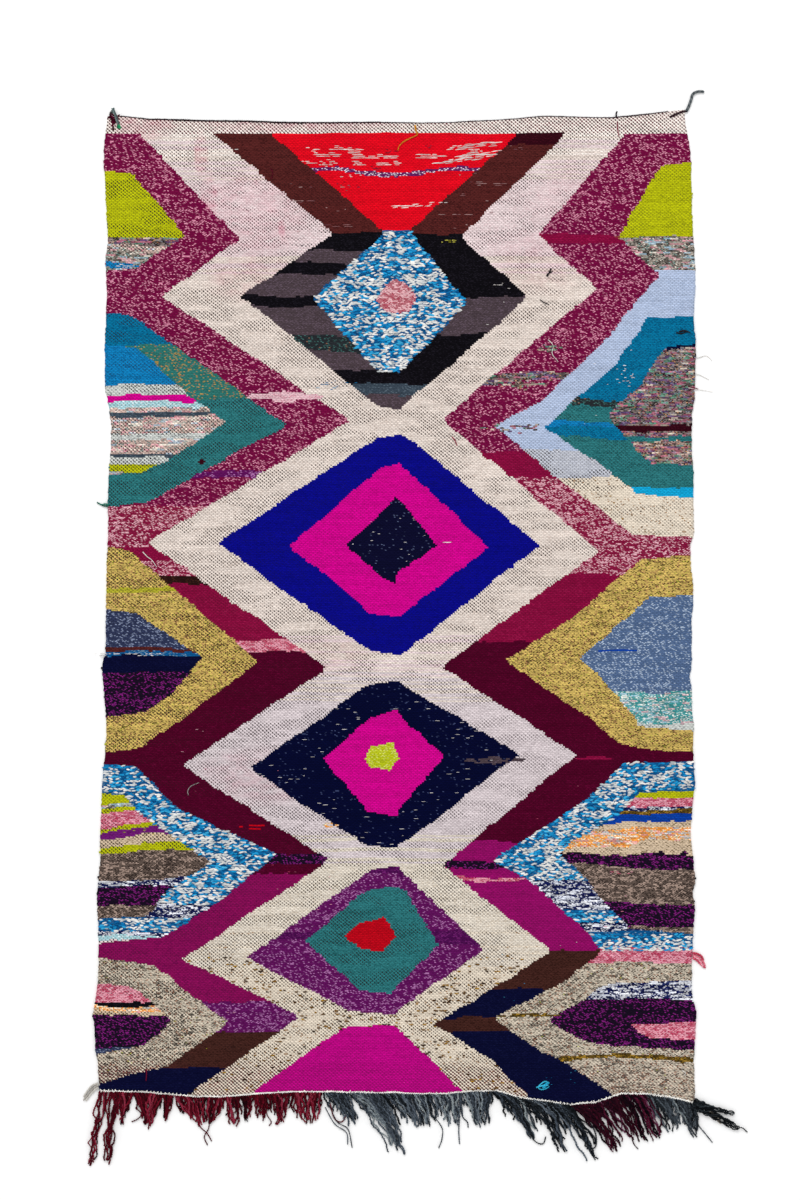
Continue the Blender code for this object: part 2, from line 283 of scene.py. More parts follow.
def cloud(tree, place, scale, detail=2.0, roughness=0.5):
    """Soft noise at a place."""
    node = tree.nodes.new("ShaderNodeTexNoise")
    node.inputs["Scale"].default_value = scale
    node.inputs["Detail"].default_value = detail
    node.inputs["Roughness"].default_value = roughness
    feed(tree, node.inputs["Vector"], place)
    return Wire(tree, node.outputs["Fac"])


def raise_surface(tree, shader, height, distance, strength=0.8):
    """Bump of a height in metres."""
    bump = tree.nodes.new("ShaderNodeBump")
    bump.inputs["Distance"].default_value = distance
    bump.inputs["Strength"].default_value = strength
    feed(tree, bump.inputs["Height"], height)
    tree.links.new(bump.outputs["Normal"], shader.inputs["Normal"])


def ramp_of(tree, value, stops, interpolation="LINEAR"):
    """A colour ramp of (place, colour) stops."""
    node = tree.nodes.new("ShaderNodeValToRGB")
    node.color_ramp.interpolation = interpolation
    elements = node.color_ramp.elements
    elements[0].position = stops[0][0]
    elements[0].color = stops[0][1]
    for position, colour in stops[1:-1]:
        elements.new(position).color = colour
    elements[-1].position = stops[-1][0]
    elements[-1].color = stops[-1][1]
    feed(tree, node.inputs[0], value)
    return Wire(tree, node.outputs[0])


def wool_finish(name, codes, fuzz=0.35):
    """Matt spun wool: each yarn takes its own shade from dark to light, with fibres."""
    finish = bpy.data.materials.new(name)
    finish.use_nodes = True
    tree = finish.node_tree
    shader = tree.nodes["Principled BSDF"]
    shade = tree.nodes.new("ShaderNodeAttribute")
    shade.attribute_name = "shade"
    stops = [(k / max(1, len(codes) - 1), dye(code)) for k, code in enumerate(codes)]
    colour = ramp_of(tree, Wire(tree, shade.outputs["Fac"]), stops)
    fibres = cloud(tree, object_place(tree), 900.0, 3.0, 0.7)
    patches = cloud(tree, object_place(tree), 60.0)
    light = fibres * (fuzz * 1.4) + (1.0 - 0.7 * fuzz)
    light = light * (patches + 0.5)
    feed(tree, shader.inputs["Base Color"], shaded(tree, colour, light))
    shader.inputs["Roughness"].default_value = 0.95
    shader.inputs["Specular IOR Level"].default_value = 0.05
    raise_surface(tree, shader, fibres, 0.0006)
    return finish


grey_wool = wool_finish("grey_tie_wool", ("32383c", GREY_WOOL, "7a7f80", PALE_WOOL, "dcdad2"))
tie_path = eased_route([(x, y, TIE_HEIGHT) for x, y in TIE_ROUTE], TIE_STEPS)
tie_skein = Skein()
tie_skein.twist(
    tie_path, TIE_DIAMETER / 3.6, TIE_PITCH, (0.1, 0.42, 0.3), sides=8, taper=0.85
)
corner_tie = tie_skein.piece("twisted_corner_tie", grey_wool)
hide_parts("corner_tie")


# Floor and light: a plain, almost white floor, a pale sky and one large soft lamp. It
# stands beyond the header, a little to the left, so its light slants over the floats.
FLOOR_SIZE = 30.0
FLOOR_DROP = 0.0006
LAMP_PLACE = (-1.6, 7.4, 8.8)
LAMP_SIZE = 4.8
LAMP_POWER = 500.0
SKY_LIGHT = 0.86

bpy.ops.object.select_all(action="DESELECT")
bpy.ops.mesh.primitive_plane_add(size=FLOOR_SIZE, location=(0, 0, -FLOOR_DROP))
bpy.ops.object.transform_apply(location=True, rotation=True, scale=True)
floor = bpy.context.object
floor.name = "floor"
floor_paint = bpy.data.materials.new("floor_paint")
floor_paint.use_nodes = True
floor_tree = floor_paint.node_tree
floor_shader = floor_tree.nodes["Principled BSDF"]
floor_grain = cloud(floor_tree, object_place(floor_tree), 3.0)
floor_colour = ramp_of(floor_tree, floor_grain, ((0.3, dye("fafafa")), (0.7, dye("fdfdfd"))))
feed(floor_tree, floor_shader.inputs["Base Color"], floor_colour)
floor_shader.inputs["Roughness"].default_value = 0.9
floor_shader.inputs["Specular IOR Level"].default_value = 0.1
floor.data.materials.append(floor_paint)
floor.select_set(False)

lamp = bpy.data.lights.new("soft_lamp", "AREA")
lamp.energy = LAMP_POWER
lamp.size = LAMP_SIZE
lamp_stand = bpy.data.objects.new("soft_lamp", lamp)
lamp_stand.location = LAMP_PLACE
lamp_stand.rotation_euler = (-Vector(LAMP_PLACE)).to_track_quat("-Z", "Y").to_euler()
bpy.context.scene.collection.objects.link(lamp_stand)
world = bpy.data.worlds.new("pale_sky")
world.use_nodes = True
world.node_tree.nodes["Background"].inputs[0].default_value = (1.0, 1.0, 1.0, 1.0)
world.node_tree.nodes["Background"].inputs[1].default_value = SKY_LIGHT
bpy.context.scene.world = world
bpy.context.scene.view_settings.view_transform = "Standard"
bpy.context.scene.view_settings.look = "None"


# Woven cloth: wefts of cotton rag strips and spun wool, beaten over wool warps until the
# warps show only as dots. The pattern is in the wefts: an ivory ground, side bands, five
# stepped diamonds down the middle and four chevrons down each side.
ACROSS = 226
ALONG = 372
SELVEDGE_LOOP = 0.0020
RIM_INSET = 0.0012
LUMP_HEIGHT = 0.0008
COCKLE_HEIGHT = 0.0007
CLOTH_MIDDLE = (-0.045, 0.08)
CLOTH_SEED = 11
SOLID_SIDES = (-0.748, 0.652)
RIM_HEIGHT = 0.0042
FIRST_X = -0.77
FIRST_Y = 1.27
FIRST_WIDTH = 1.45
FIRST_LENGTH = 2.39

# Limits of the pattern: place along the rug, then the limit's place across, in cm.
LIMITS = {
    "band_left": (
        (123.5, -68.0), (97.5, -43.5), (83.5, -63.0), (53.0, -16.5), (23.5, -66.0), (-7.5, -22.0),
        (-31.5, -57.5), (-54.5, -21.5), (-78.5, -57.5), (-93.0, -28.5), (-111.5, -56.0),
    ),
    "band_right": (
        (123.5, 51.0), (98.5, 29.5), (85.5, 44.0), (53.5, 6.0), (21.0, 44.5), (-7.0, 6.0),
        (-28.5, 39.0), (-56.0, 6.0), (-77.0, 33.0), (-94.5, 4.0), (-103.5, 18.4), (-112.5, 27.5),
    ),
    "outer_left": (
        (123.0, -49.5), (98.5, -20.5), (83.5, -43.5), (56.5, -9.5), (56.0, -4.5), (49.0, -4.5),
        (49.0, -9.5), (23.5, -49.0), (-3.5, -11.5), (-4.0, -4.5), (-11.0, -4.5), (-11.0, -11.5),
        (-32.0, -41.0), (-51.5, -12.5), (-51.5, -4.5), (-56.0, -4.5), (-56.5, -10.5),
        (-78.5, -42.0), (-92.0, -16.0), (-92.0, -4.5), (-95.0, -4.5), (-95.5, -18.0),
        (-111.5, -40.5),
    ),
    "outer_right": (
        (123.5, 37.0), (98.0, 10.5), (83.0, 27.0), (56.0, -4.5), (49.0, -4.5), (48.5, -1.5),
        (22.5, 30.0), (-3.5, -3.0), (-4.0, -4.5), (-11.0, -4.5), (-11.5, -3.5), (-28.5, 25.0),
        (-51.5, -5.0), (-56.5, -5.0), (-76.5, 16.5), (-91.5, -5.5), (-95.0, -5.5), (-95.5, -5.0),
        (-112.0, 12.0),
    ),
    "inner_left": (
        (123.0, -35.5), (99.5, -8.5), (99.0, -8.0), (83.0, -25.5), (65.0, -10.0), (65.0, -4.5),
        (42.0, -4.5), (42.0, -8.0), (22.5, -31.5), (13.5, -19.5), (5.0, -11.5), (5.0, -4.5),
        (-18.5, -4.5), (-18.5, -10.5), (-29.5, -23.0), (-43.0, -12.0), (-43.5, -4.5),
        (-61.5, -4.5), (-62.0, -12.5), (-74.5, -27.5), (-87.0, -13.5), (-87.5, -4.5),
    ),
    "inner_right": (
        (123.5, 25.0), (99.5, -2.0), (82.0, 12.0), (65.0, -4.5), (42.5, -4.5), (42.5, -4.0),
        (22.0, 17.5), (5.0, -4.5), (-18.5, -5.0), (-28.5, 6.5), (-43.0, -5.0), (-61.5, -5.0),
        (-62.0, -3.0), (-75.0, 5.0), (-87.0, -6.5), (-87.5, -6.5),
    ),
    "centre_left": (
        (87.5, -5.5), (87.0, -7.5), (83.0, -10.0), (79.5, -8.0), (79.5, -5.5), (34.0, -5.5),
        (33.5, -6.0), (22.5, -17.5), (13.5, -7.5), (13.5, -5.5), (-26.0, -5.5), (-26.0, -11.0),
        (-29.5, -13.0), (-32.5, -11.0), (-32.5, -6.5), (-69.0, -6.5), (-69.5, -13.5),
        (-73.5, -18.0), (-77.0, -13.5), (-77.0, -6.5),
    ),
    "centre_right": (
        (87.5, -5.5), (87.0, -2.5), (83.0, 0.0), (79.5, -2.0), (79.5, -5.5), (34.0, -5.5),
        (33.5, -4.5), (22.5, 5.0), (16.0, -4.5), (13.5, -5.5), (-26.0, -5.5), (-26.5, -6.0),
        (-29.5, -4.5), (-32.5, -6.5), (-69.0, -8.0), (-69.5, -7.0), (-73.0, -5.0),
        (-77.0, -8.5), (-77.0, -9.0),
    ),
    "chevron_left": (
        (114.5, -80.0), (114.0, -70.0), (98.5, -57.0), (90.0, -70.0), (89.5, -80.0), (79.5, -80.0),
        (79.0, -70.5), (52.0, -32.0), (33.0, -66.5), (32.0, -80.0), (22.5, -80.0), (22.0, -71.0),
        (-6.0, -39.0), (-20.0, -57.5), (-27.5, -68.5), (-28.0, -80.0), (-31.0, -80.0),
        (-31.5, -69.5), (-42.0, -58.5), (-53.0, -34.5), (-65.5, -50.0), (-73.5, -62.5),
        (-75.0, -80.0), (-79.0, -80.0), (-79.5, -65.5), (-94.0, -46.5), (-105.0, -61.5),
        (-110.0, -80.0),
    ),
    "core_left": (
        (72.0, -80.0), (71.5, -69.5), (58.5, -55.5), (52.5, -47.0), (43.0, -62.0), (40.0, -68.5),
        (39.5, -80.0), (6.5, -80.0), (6.0, -69.0), (-5.0, -52.5), (-14.5, -60.5), (-18.5, -67.0),
        (-20.0, -80.0), (-38.0, -80.0), (-38.5, -72.0), (-43.5, -67.5), (-55.0, -50.5),
        (-62.5, -62.0), (-68.5, -65.5), (-68.5, -80.0), (-85.5, -80.0), (-85.5, -69.5),
        (-93.5, -60.0), (-100.0, -67.0), (-102.5, -80.0),
    ),
    "chevron_right": (
        (116.5, 80.0), (116.5, 60.0), (98.0, 49.0), (90.5, 57.0), (89.0, 59.5), (72.0, 45.5),
        (58.0, 30.5), (52.0, 18.5), (39.0, 34.5), (25.0, 53.5), (24.0, 80.0), (20.5, 80.0),
        (20.0, 56.0), (5.0, 38.0), (-5.5, 21.5), (-20.0, 42.5), (-25.5, 49.0), (-27.5, 56.5),
        (-28.0, 80.0), (-30.5, 80.0), (-30.5, 51.0), (-40.0, 41.0), (-54.5, 18.5), (-59.5, 27.5),
        (-72.5, 42.0), (-76.5, 45.0), (-78.0, 44.0), (-85.0, 35.0), (-93.0, 18.5),
        (-101.5, 30.5), (-103.5, 34.9), (-110.5, 46.5), (-112.0, 48.0),
    ),
    "mid_right": (
        (79.0, 80.0), (78.5, 56.5), (66.5, 48.5), (51.5, 31.0), (43.5, 43.5), (34.5, 55.0),
        (34.0, 80.0), (11.0, 80.0), (10.5, 57.5), (-5.0, 40.0), (-12.5, 47.5), (-22.0, 55.0),
        (-23.0, 80.0), (-37.0, 80.0), (-37.5, 55.0), (-44.5, 47.5), (-50.0, 37.5), (-53.0, 34.5),
        (-59.0, 41.0), (-64.0, 45.0), (-71.5, 52.0), (-73.5, 80.0), (-84.0, 80.0), (-84.5, 46.5),
        (-88.5, 41.0), (-94.0, 31.5), (-99.5, 42.0), (-101.5, 80.0),
    ),
    "core_right": (
        (73.0, 80.0), (71.0, 60.5), (62.0, 55.0), (54.0, 46.0), (44.5, 55.5), (42.0, 57.5),
        (42.0, 80.0), (-94.0, 80.0), (-94.5, 52.5), (-97.5, 54.5), (-99.5, 80.0),
    ),
}

# Stripes of each part of the pattern: where a yarn begins, from the header down, in cm.
STRIPES = {
    "ivory": (
        (131.7, "dotted_ivory"), (121.9, "ivory"), (115.8, "pink_ivory"), (92.0, "ivory"),
        (-0.6, "pink_ivory"), (-4.5, "ivory"), (-11.1, "lilac_ivory"), (-52.1, "cream"),
        (-77.8, "flecked_cream"),
    ),
    "band_left": (
        (131.7, "burgundy_tweed"), (41.0, "purple_tweed"), (39.3, "burgundy_tweed"),
        (32.2, "rose_tweed"), (22.2, "crimson"), (19.0, "rose_tweed"), (15.3, "black_brown"),
        (12.9, "crimson"), (-0.9, "pink_tweed"), (-4.0, "dark_wine"), (-52.8, "purple_black"),
        (-55.7, "dark_wine"), (-58.4, "plum"), (-89.3, "purple_tweed"), (-96.7, "dark_brown"),
        (-105.0, "navy"),
    ),
    "band_right": (
        (131.7, "burgundy_tweed"), (98.4, "crimson"), (96.2, "burgundy_tweed"),
        (63.6, "dark_multi"), (61.1, "burgundy_tweed"), (45.4, "crimson"), (39.3, "rose_tweed"),
        (15.8, "crimson"), (-1.1, "dark_wine"), (-50.3, "bright_plum"), (-55.0, "purple_black"),
        (-56.5, "bright_plum"), (-58.7, "pink_tweed"), (-59.7, "bright_plum"),
        (-77.3, "dark_brown"), (-86.4, "navy"), (-93.2, "dark_brown"), (-96.7, "navy"),
    ),
    "outer_left": (
        (131.7, "brown"), (98.6, "black"), (94.9, "charcoal"), (91.5, "black"), (88.6, "charcoal"),
        (83.7, "black"), (81.2, "charcoal"), (73.4, "green_black"), (69.9, "charcoal"),
        (65.5, "black"), (62.1, "slate"), (59.2, "charcoal"), (52.1, "royal_blue"),
        (-7.5, "navy_flecked"), (-54.0, "deep_purple"),
        (-57.5, "purple_tweed"), (-72.6, "deep_purple"), (-74.2, "purple_tweed"),
        (-93.7, "deep_magenta"),
    ),
    "outer_right": (
        (131.7, "maroon"), (120.4, "brown"), (98.6, "black"), (83.2, "charcoal"), (74.1, "black"),
        (61.9, "slate"), (58.7, "charcoal"), (52.1, "royal_blue"), (-7.5, "navy_flecked"),
        (-54.0, "deep_purple"),
        (-58.6, "purple_tweed"), (-72.0, "deep_purple"), (-75.4, "purple_tweed"),
        (-93.7, "deep_magenta"),
    ),
    "inner": (
        (131.7, "red"), (115.2, "purple_white"), (114.1, "red"), (99.3, "blue_white"),
        (53.3, "magenta"), (-52.1, "teal_green"),
    ),
    "centre": (
        (131.7, "pink_red_tweed"), (58.2, "black_speckled"), (-10.4, "lime_fluff"),
        (-52.1, "clear_red"),
    ),
    "chevron_left": (
        (131.7, "lime"), (97.6, "dark_multi"), (95.6, "pale_multi"), (94.0, "grey_tweed"),
        (91.2, "bright_blue"), (90.4, "grey_tweed"), (82.7, "teal_blue"), (71.7, "flecked_green"),
        (58.2, "teal_green"), (26.3, "olive_tweed"), (12.1, "lime_tweed"), (10.9, "olive_tweed"),
        (-29.5, "blue_white"), (-65.3, "navy_white"), (-68.7, "blue_white"), (-71.9, "navy_white"),
        (-73.1, "pale_cyan"), (-74.1, "pink_ivory"), (-76.6, "beige_tweed"),
    ),
    "core_left": (
        (131.7, "bright_blue"), (61.9, "grey_dotted"), (59.2, "magenta"), (57.5, "pale_cyan"),
        (56.0, "pale_multi"), (55.0, "slate"), (54.0, "pale_multi"), (49.9, "grey_dotted"),
        (48.4, "pale_multi"), (44.7, "slate"), (44.0, "grey_dotted"), (42.0, "lime"),
        (40.3, "pale_multi"), (9.2, "denim"), (-2.6, "brown"), (-3.6, "blue_white"),
        (-4.5, "navy"), (-8.7, "purple_black"), (-34.9, "lime"), (-41.5, "grey_tweed"),
        (-42.5, "lime"), (-43.7, "pink_tweed"), (-47.4, "lime"), (-48.3, "purple"),
        (-50.1, "pale_tan"), (-51.6, "lime"), (-53.3, "grey_brown"), (-59.7, "navy_white"),
        (-61.4, "purple_black"), (-66.3, "grey_brown"), (-82.7, "pink_tweed"), (-89.3, "black"),
        (-90.3, "orange_multi"), (-91.5, "pale_tan"), (-92.5, "purple_black"), (-100.6, "denim"),
    ),
    "chevron_right": (
        (131.7, "lime"), (97.9, "grey_tweed"), (89.8, "light_blue"), (45.9, "dotted_blue"),
        (39.3, "flecked_cream"), (22.7, "olive_tweed"), (-28.8, "blue_white"),
        (-59.4, "navy_white"), (-67.0, "blue_white"), (-69.7, "navy_white"), (-72.4, "blue_white"),
        (-76.6, "pink_tweed"), (-79.7, "beige_tweed"), (-103.2, "mustard_tweed"),
        (-104.2, "beige_tweed"),
    ),
    "mid_right": (
        (131.7, "teal_blue"), (57.2, "green_black"), (56.0, "teal_green"), (52.3, "bright_blue"),
        (51.3, "teal_blue"), (48.6, "teal_green"), (35.9, "bright_cyan"), (26.3, "denim_blue"),
        (-12.9, "turquoise_white"),
        (-20.7, "grey_dotted"), (-30.0, "lime"), (-39.3, "pink_tweed"), (-41.8, "navy_white"),
        (-43.0, "mustard_tweed"), (-44.2, "deep_blue"), (-46.7, "pale_tan"),
        (-48.4, "orange_multi"), (-51.1, "pale_tan"), (-52.6, "purple_black"),
        (-55.2, "grey_brown"), (-65.0, "purple_black"), (-71.2, "grey_brown"),
        (-79.0, "navy_white"), (-88.8, "purple_black"),
    ),
    "core_right": (
        (131.7, "navy"), (70.7, "dark_multi"), (51.6, "maroon"), (50.3, "dark_multi"),
        (49.1, "teal_green"), (48.1, "warm_multi"), (-64.3, "pink_tweed"),
    ),
}

# Yarns in the weaver's basket: main colour, second colour, share of floats that show the
# second one, share in stray colours, and how clearly the warp dots show.
YARNS = {
    "ivory": ("dfd2c9", "cbbbb1", 0.25, 0.0, 1.2),
    "dotted_ivory": ("ece2da", "d8c8c2", 0.20, 0.0, 2.2),
    "pink_ivory": ("e0cecf", "d2b8bb", 0.30, 0.0, 1.2),
    "lilac_ivory": ("d4c8cb", "c0b3b7", 0.30, 0.0, 0.8),
    "cream": ("dcd2c4", "c6b8a6", 0.28, 0.0, 1.0),
    "flecked_cream": ("dfd2c0", "8a5c2a", 0.07, 0.0, 1.5),
    "burgundy_tweed": ("6c0a3a", "dc90aa", 0.24, 0.0, 0.1),
    "rose_tweed": ("80143a", "e4b0bc", 0.33, 0.0, 0.1),
    "crimson": ("7d0a37", "8d1543", 0.20, 0.0, 0.15),
    "pink_tweed": ("de98a8", "a81444", 0.40, 0.0, 0.3),
    "pale_pink": ("dcb6be", "c27c8e", 0.25, 0.0, 0.1),
    "black_brown": ("24100f", "3c2018", 0.30, 0.0, 0.0),
    "dark_wine": ("470220", "56052a", 0.20, 0.0, 0.15),
    "purple_black": ("170c1e", "84207c", 0.27, 0.0, 0.0),
    "plum": ("800c50", "6c0848", 0.25, 0.0, 0.15),
    "bright_plum": ("8e0c60", "7e0a55", 0.25, 0.0, 0.15),
    "deep_purple": ("460b48", "6c2068", 0.28, 0.0, 0.0),
    "purple_tweed": ("5a1054", "ac70a8", 0.22, 0.0, 0.0),
    "brown": ("50201f", "381314", 0.27, 0.0, 0.2),
    "dark_brown": ("40221d", "2c1410", 0.27, 0.0, 0.2),
    "navy": ("07092b", "0e1136", 0.20, 0.0, 0.0),
    "dark_multi": ("857874", "120f14", 0.36, 0.26, 0.0),
    "maroon": ("2e0612", "3e0c1a", 0.25, 0.0, 0.0),
    "black": ("0c0a0f", "1a171f", 0.30, 0.0, 0.0),
    "charcoal": ("463a40", "5c4d59", 0.30, 0.0, 0.0),
    "green_black": ("24282c", "3f6a66", 0.22, 0.02, 0.0),
    "slate": ("36424e", "55636e", 0.25, 0.0, 0.0),
    "royal_blue": ("08097f", "07086c", 0.25, 0.0, 0.12),
    "navy_flecked": ("04072a", "3a4468", 0.03, 0.0, 0.0),
    "deep_magenta": ("b8067f", "a40572", 0.25, 0.0, 0.2),
    "red": ("d8081c", "c80618", 0.25, 0.0, 0.1),
    "purple_white": ("5a1a56", "e8d8e4", 0.26, 0.0, 0.0),
    "blue_white": ("0b4f84", "6a8aa0", 0.22, 0.0, 0.0),
    "magenta": ("cb0488", "ba0379", 0.25, 0.0, 0.15),
    "teal_green": ("2c7276", "1a5458", 0.30, 0.0, 0.8),
    "pink_red_tweed": ("dcaab0", "98203c", 0.42, 0.0, 0.0),
    "black_speckled": ("0a0a28", "505a7a", 0.03, 0.0, 0.0),
    "lime_fluff": ("b3bc1c", "d6d874", 0.25, 0.0, 0.0),
    "clear_red": ("b30618", "a00514", 0.25, 0.0, 0.0),
    "lime": ("b2b60f", "8e9010", 0.24, 0.0, 1.0),
    "grey_tweed": ("988e84", "121016", 0.40, 0.16, 0.2),
    "pale_tan": ("cdb79c", "6a5638", 0.22, 0.0, 0.8),
    "bright_blue": ("0f78b2", "0a5688", 0.26, 0.0, 0.3),
    "teal_blue": ("066c94", "044a70", 0.26, 0.0, 0.4),
    "flecked_green": ("2b6c66", "b58a3a", 0.14, 0.06, 0.0),
    "olive_tweed": ("c8ac5e", "2a1c0a", 0.30, 0.12, 0.5),
    "lime_tweed": ("b0ab30", "6a6020", 0.20, 0.0, 0.2),
    "pale_cyan": ("9cc7cf", "dfe8ea", 0.25, 0.0, 0.2),
    "navy_white": ("10164a", "c4c8d8", 0.20, 0.41, 0.0),
    "beige_tweed": ("c6baa8", "181212", 0.33, 0.10, 0.9),
    "grey_dotted": ("c4c8c4", "60666a", 0.18, 0.0, 0.9),
    "pale_multi": ("c4aaa0", "5c5458", 0.24, 0.18, 0.8),
    "denim": ("2c3350", "8894b0", 0.24, 0.0, 0.1),
    "denim_blue": ("4e6488", "acbcd0", 0.24, 0.0, 0.2),
    "purple": ("6b1a6e", "571459", 0.25, 0.0, 0.0),
    "grey_brown": ("a08a7e", "100808", 0.46, 0.0, 0.4),
    "orange_multi": ("e69440", "ecdcbc", 0.30, 0.19, 0.3),
    "light_blue": ("adbbd6", "9fafcc", 0.25, 0.0, 0.3),
    "dotted_blue": ("b6b9c4", "c8cad2", 0.25, 0.0, 2.6),
    "mustard_tweed": ("a07c2c", "140f0a", 0.50, 0.0, 0.3),
    "bright_cyan": ("12a0d0", "0f8cba", 0.25, 0.0, 0.1),
    "deep_blue": ("0a3c9c", "0a3184", 0.25, 0.0, 0.0),
    "turquoise_white": ("3f9092", "dfe6e2", 0.30, 0.15, 0.3),
    "warm_multi": ("a0867e", "1e181c", 0.34, 0.27, 0.2),
}
# Stray colours of the tweeds, of the pale mixtures, of the dark ones and of the navy rag.
STRAYS = (
    ("c8a24a", "4a5a80", "2a2a34", "8a8f98", "b4b83e", "a06a50"),
    ("e0a0aa", "9fc0d4", "f2eadc", "dcc98e", "6c6a72", "c05a74", "7fa8a0", "efe6da"),
    ("b0627a", "4c8a72", "5c3f74", "cfbfae", "c48a58", "1c181c", "7f3346", "8890a4"),
    ("e6e8ee", "121846", "0e1440", "d4d8e4", "1c2656", "f2f2f4"),
)
STRAY_STEPS = (0.13, 0.21, 0.4)
DASH_CM = 1.7

# Small patches laid into the pattern: across, along, half width, half height in cm, how
# full the patch is, and its yarn.
PATCHES = (
    (-72.9, 91.0, 3.4, 0.7, 1.0, "bright_blue"),
    (43.5, -29.5, 4.9, 0.4, 1.0, "crimson"),
    (19.0, -30.0, 6.1, 1.0, 0.8, "charcoal"),
    (-21.4, -45.9, 1.5, 0.6, 0.8, "orange_multi"),
    (-53.0, 43.0, 1.0, 0.6, 1.0, "maroon"),
    (-40.5, -46.4, 4.4, 0.7, 0.5, "clear_red"),
    (25.6, 61.9, 5.4, 1.2, 0.5, "warm_multi"),
    (32.5, 70.9, 2.5, 1.0, 0.5, "warm_multi"),
    (48.9, -3.1, 6.6, 0.3, 1.0, "deep_blue"),
    (-32.5, 58.9, 6.8, 1.2, 1.0, "pale_pink"),
    (27.4, -92.4, 6.2, 0.4, 0.8, "mustard_tweed"),
    (24.0, 51.4, 7.0, 1.1, 0.35, "dark_multi"),
)

# Where stripes bow: across, along, half width, half height and the dip, in cm.
BOWS = (
    (-6.8, 113.0, 11.0, 6.0, 1.6),
    (-58.0, -49.0, 15.0, 9.0, -1.6),
    (64.0, -47.0, 13.0, 5.0, -2.0),
    (66.0, -56.0, 14.0, 4.0, 1.8),
    (30.0, 59.0, 12.0, 6.0, -1.4),
    (-44.0, -52.0, 5.0, 5.0, 1.2),
    (53.0, -103.5, 12.0, 5.0, -1.5),
)

# Dye that has run into the ivory: across, along, half width, half height, strength.
STAINS = (
    (-53.0, 118.0, 2.0, 6.0, 0.5),
    (-51.0, 106.0, 3.0, 9.0, 0.45),
    (-40.0, 104.0, 16.0, 13.0, 0.22),
    (-33.2, 100.0, 1.2, 3.5, 0.5),
    (40.0, 106.0, 14.0, 14.0, 0.12),
    (-40.0, 88.0, 14.0, 7.0, 0.22),
    (30.0, 92.0, 14.0, 9.0, 0.16),
    (-38.0, -34.0, 18.0, 8.0, 0.20),
    (-30.0, 127.5, 30.0, 5.0, 0.38),
    (-67.0, 126.0, 9.0, 5.0, 0.45),
    (-22.0, -4.0, 12.0, 5.0, 0.12),
)

# The parts of the pattern from the ground up: the limits on its left and on its right,
# if any, and its stripes.
PARTS = (
    (None, "band_left", "band_left"),
    ("band_right", None, "band_right"),
    ("outer_left", "outer_right", "outer"),
    ("inner_left", "inner_right", "inner"),
    ("centre_left", "centre_right", "centre"),
    (None, "chevron_left", "chevron_left"),
    (None, "core_left", "core_left"),
    ("chevron_right", None, "chevron_right"),
    ("mid_right", None, "mid_right"),
    ("core_right", None, "core_right"),
)

ROW_CM = 0.42
FLOAT_CM = 0.96
CHART_LOW = -120.0
CHART_HIGH = 140.0
CHART_HALF = 90.0
WINDOW_EDGES = (60.0, 0.0, -60.0)
HEADER_LOW = 123.3
LOWEST_ROWS = -102.5
MIDDLE_ACROSS = -4.75
BASKET_SIZE = 64
BANK_SIZE = 32
WARP_SHADOW = "231b1c"
WINE_SHADOW = "5e1028"
STAIN_COLOUR = "c9557c"
TWISTS_A_FLOAT = 2.5
TWIST_SLANT = 0.7
PATCH_REACH = 1.15
SMALLEST_DOT = 0.135
# Painted shade: the dark dots grow stronger to the left and weaker to the right, a falloff of light
# painted across the cloth.
PAINTED_SHADE_TO_THE_LEFT = 0.011

# How much lighter and darker the streaks, patches, floats, rows and twists are.
STREAK_DEPTH = 0.44
PATCH_DEPTH = 0.16
FLOAT_DEPTH = 0.14
ROW_DEPTH = 0.75
TWIST_DEPTH = 0.16

# How far the rows, the floats and the stripes stray from their places, in cm.
BOW_CM = 1.8
RIPPLE_CM = 0.55
SWAY_CM = 0.4
RAGGED_CM = 0.55
WOBBLE_CM = 2.0
DRIFT_CM = 3.0
FLICKER_CM = 1.1
GROUND_MIX_CM = 12.0


def outline_of(node):
    """Left, right, header and lower edges of the cloth's solid, from its bottom face."""
    points = np.array([v.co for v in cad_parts[node].data.vertices])
    low = points[points[:, 2] < 1e-4]
    left = low[low[:, 0] < -0.74]
    right = low[low[:, 0] > 0.64]
    header = low[low[:, 1] > 1.22]
    lower = low[low[:, 1] < -1.08]
    return (
        left[np.argsort(left[:, 1])],
        right[np.argsort(right[:, 1])],
        header[np.argsort(header[:, 0])],
        lower[np.argsort(lower[:, 0])],
    )


# How far the woven edges wander from the solid's straight stretches: place along the
# edge, then how far out or in it moves, in cm.
LEFT_SWAY = (
    (-110.0, 0.6), (-104.0, 0.2), (-101.0, -0.4), (-95.0, -0.7), (-92.0, -1.0), (-86.0, 0.0),
    (-80.0, 0.5), (-71.0, 0.4), (-62.6, -0.2), (-54.0, 0.5), (-48.0, 0.0), (-36.0, -0.4),
    (-27.3, 0.0), (-24.4, 0.5), (-18.5, 0.7), (-12.6, 0.3), (-6.7, -0.2), (-3.8, 0.7), (11.0, 0.7),
    (22.7, 0.9), (28.5, 0.7), (31.5, 0.3), (40.3, 0.3), (46.2, 0.8), (52.0, 0.9), (55.0, 0.5),
    (58.0, 0.0), (61.0, -0.7), (72.6, -0.7), (75.6, -0.5), (84.4, -0.2), (93.2, -0.4),
    (96.2, 0.4), (111.0, 0.2), (120.0, -0.4), (126.0, -0.2),
)
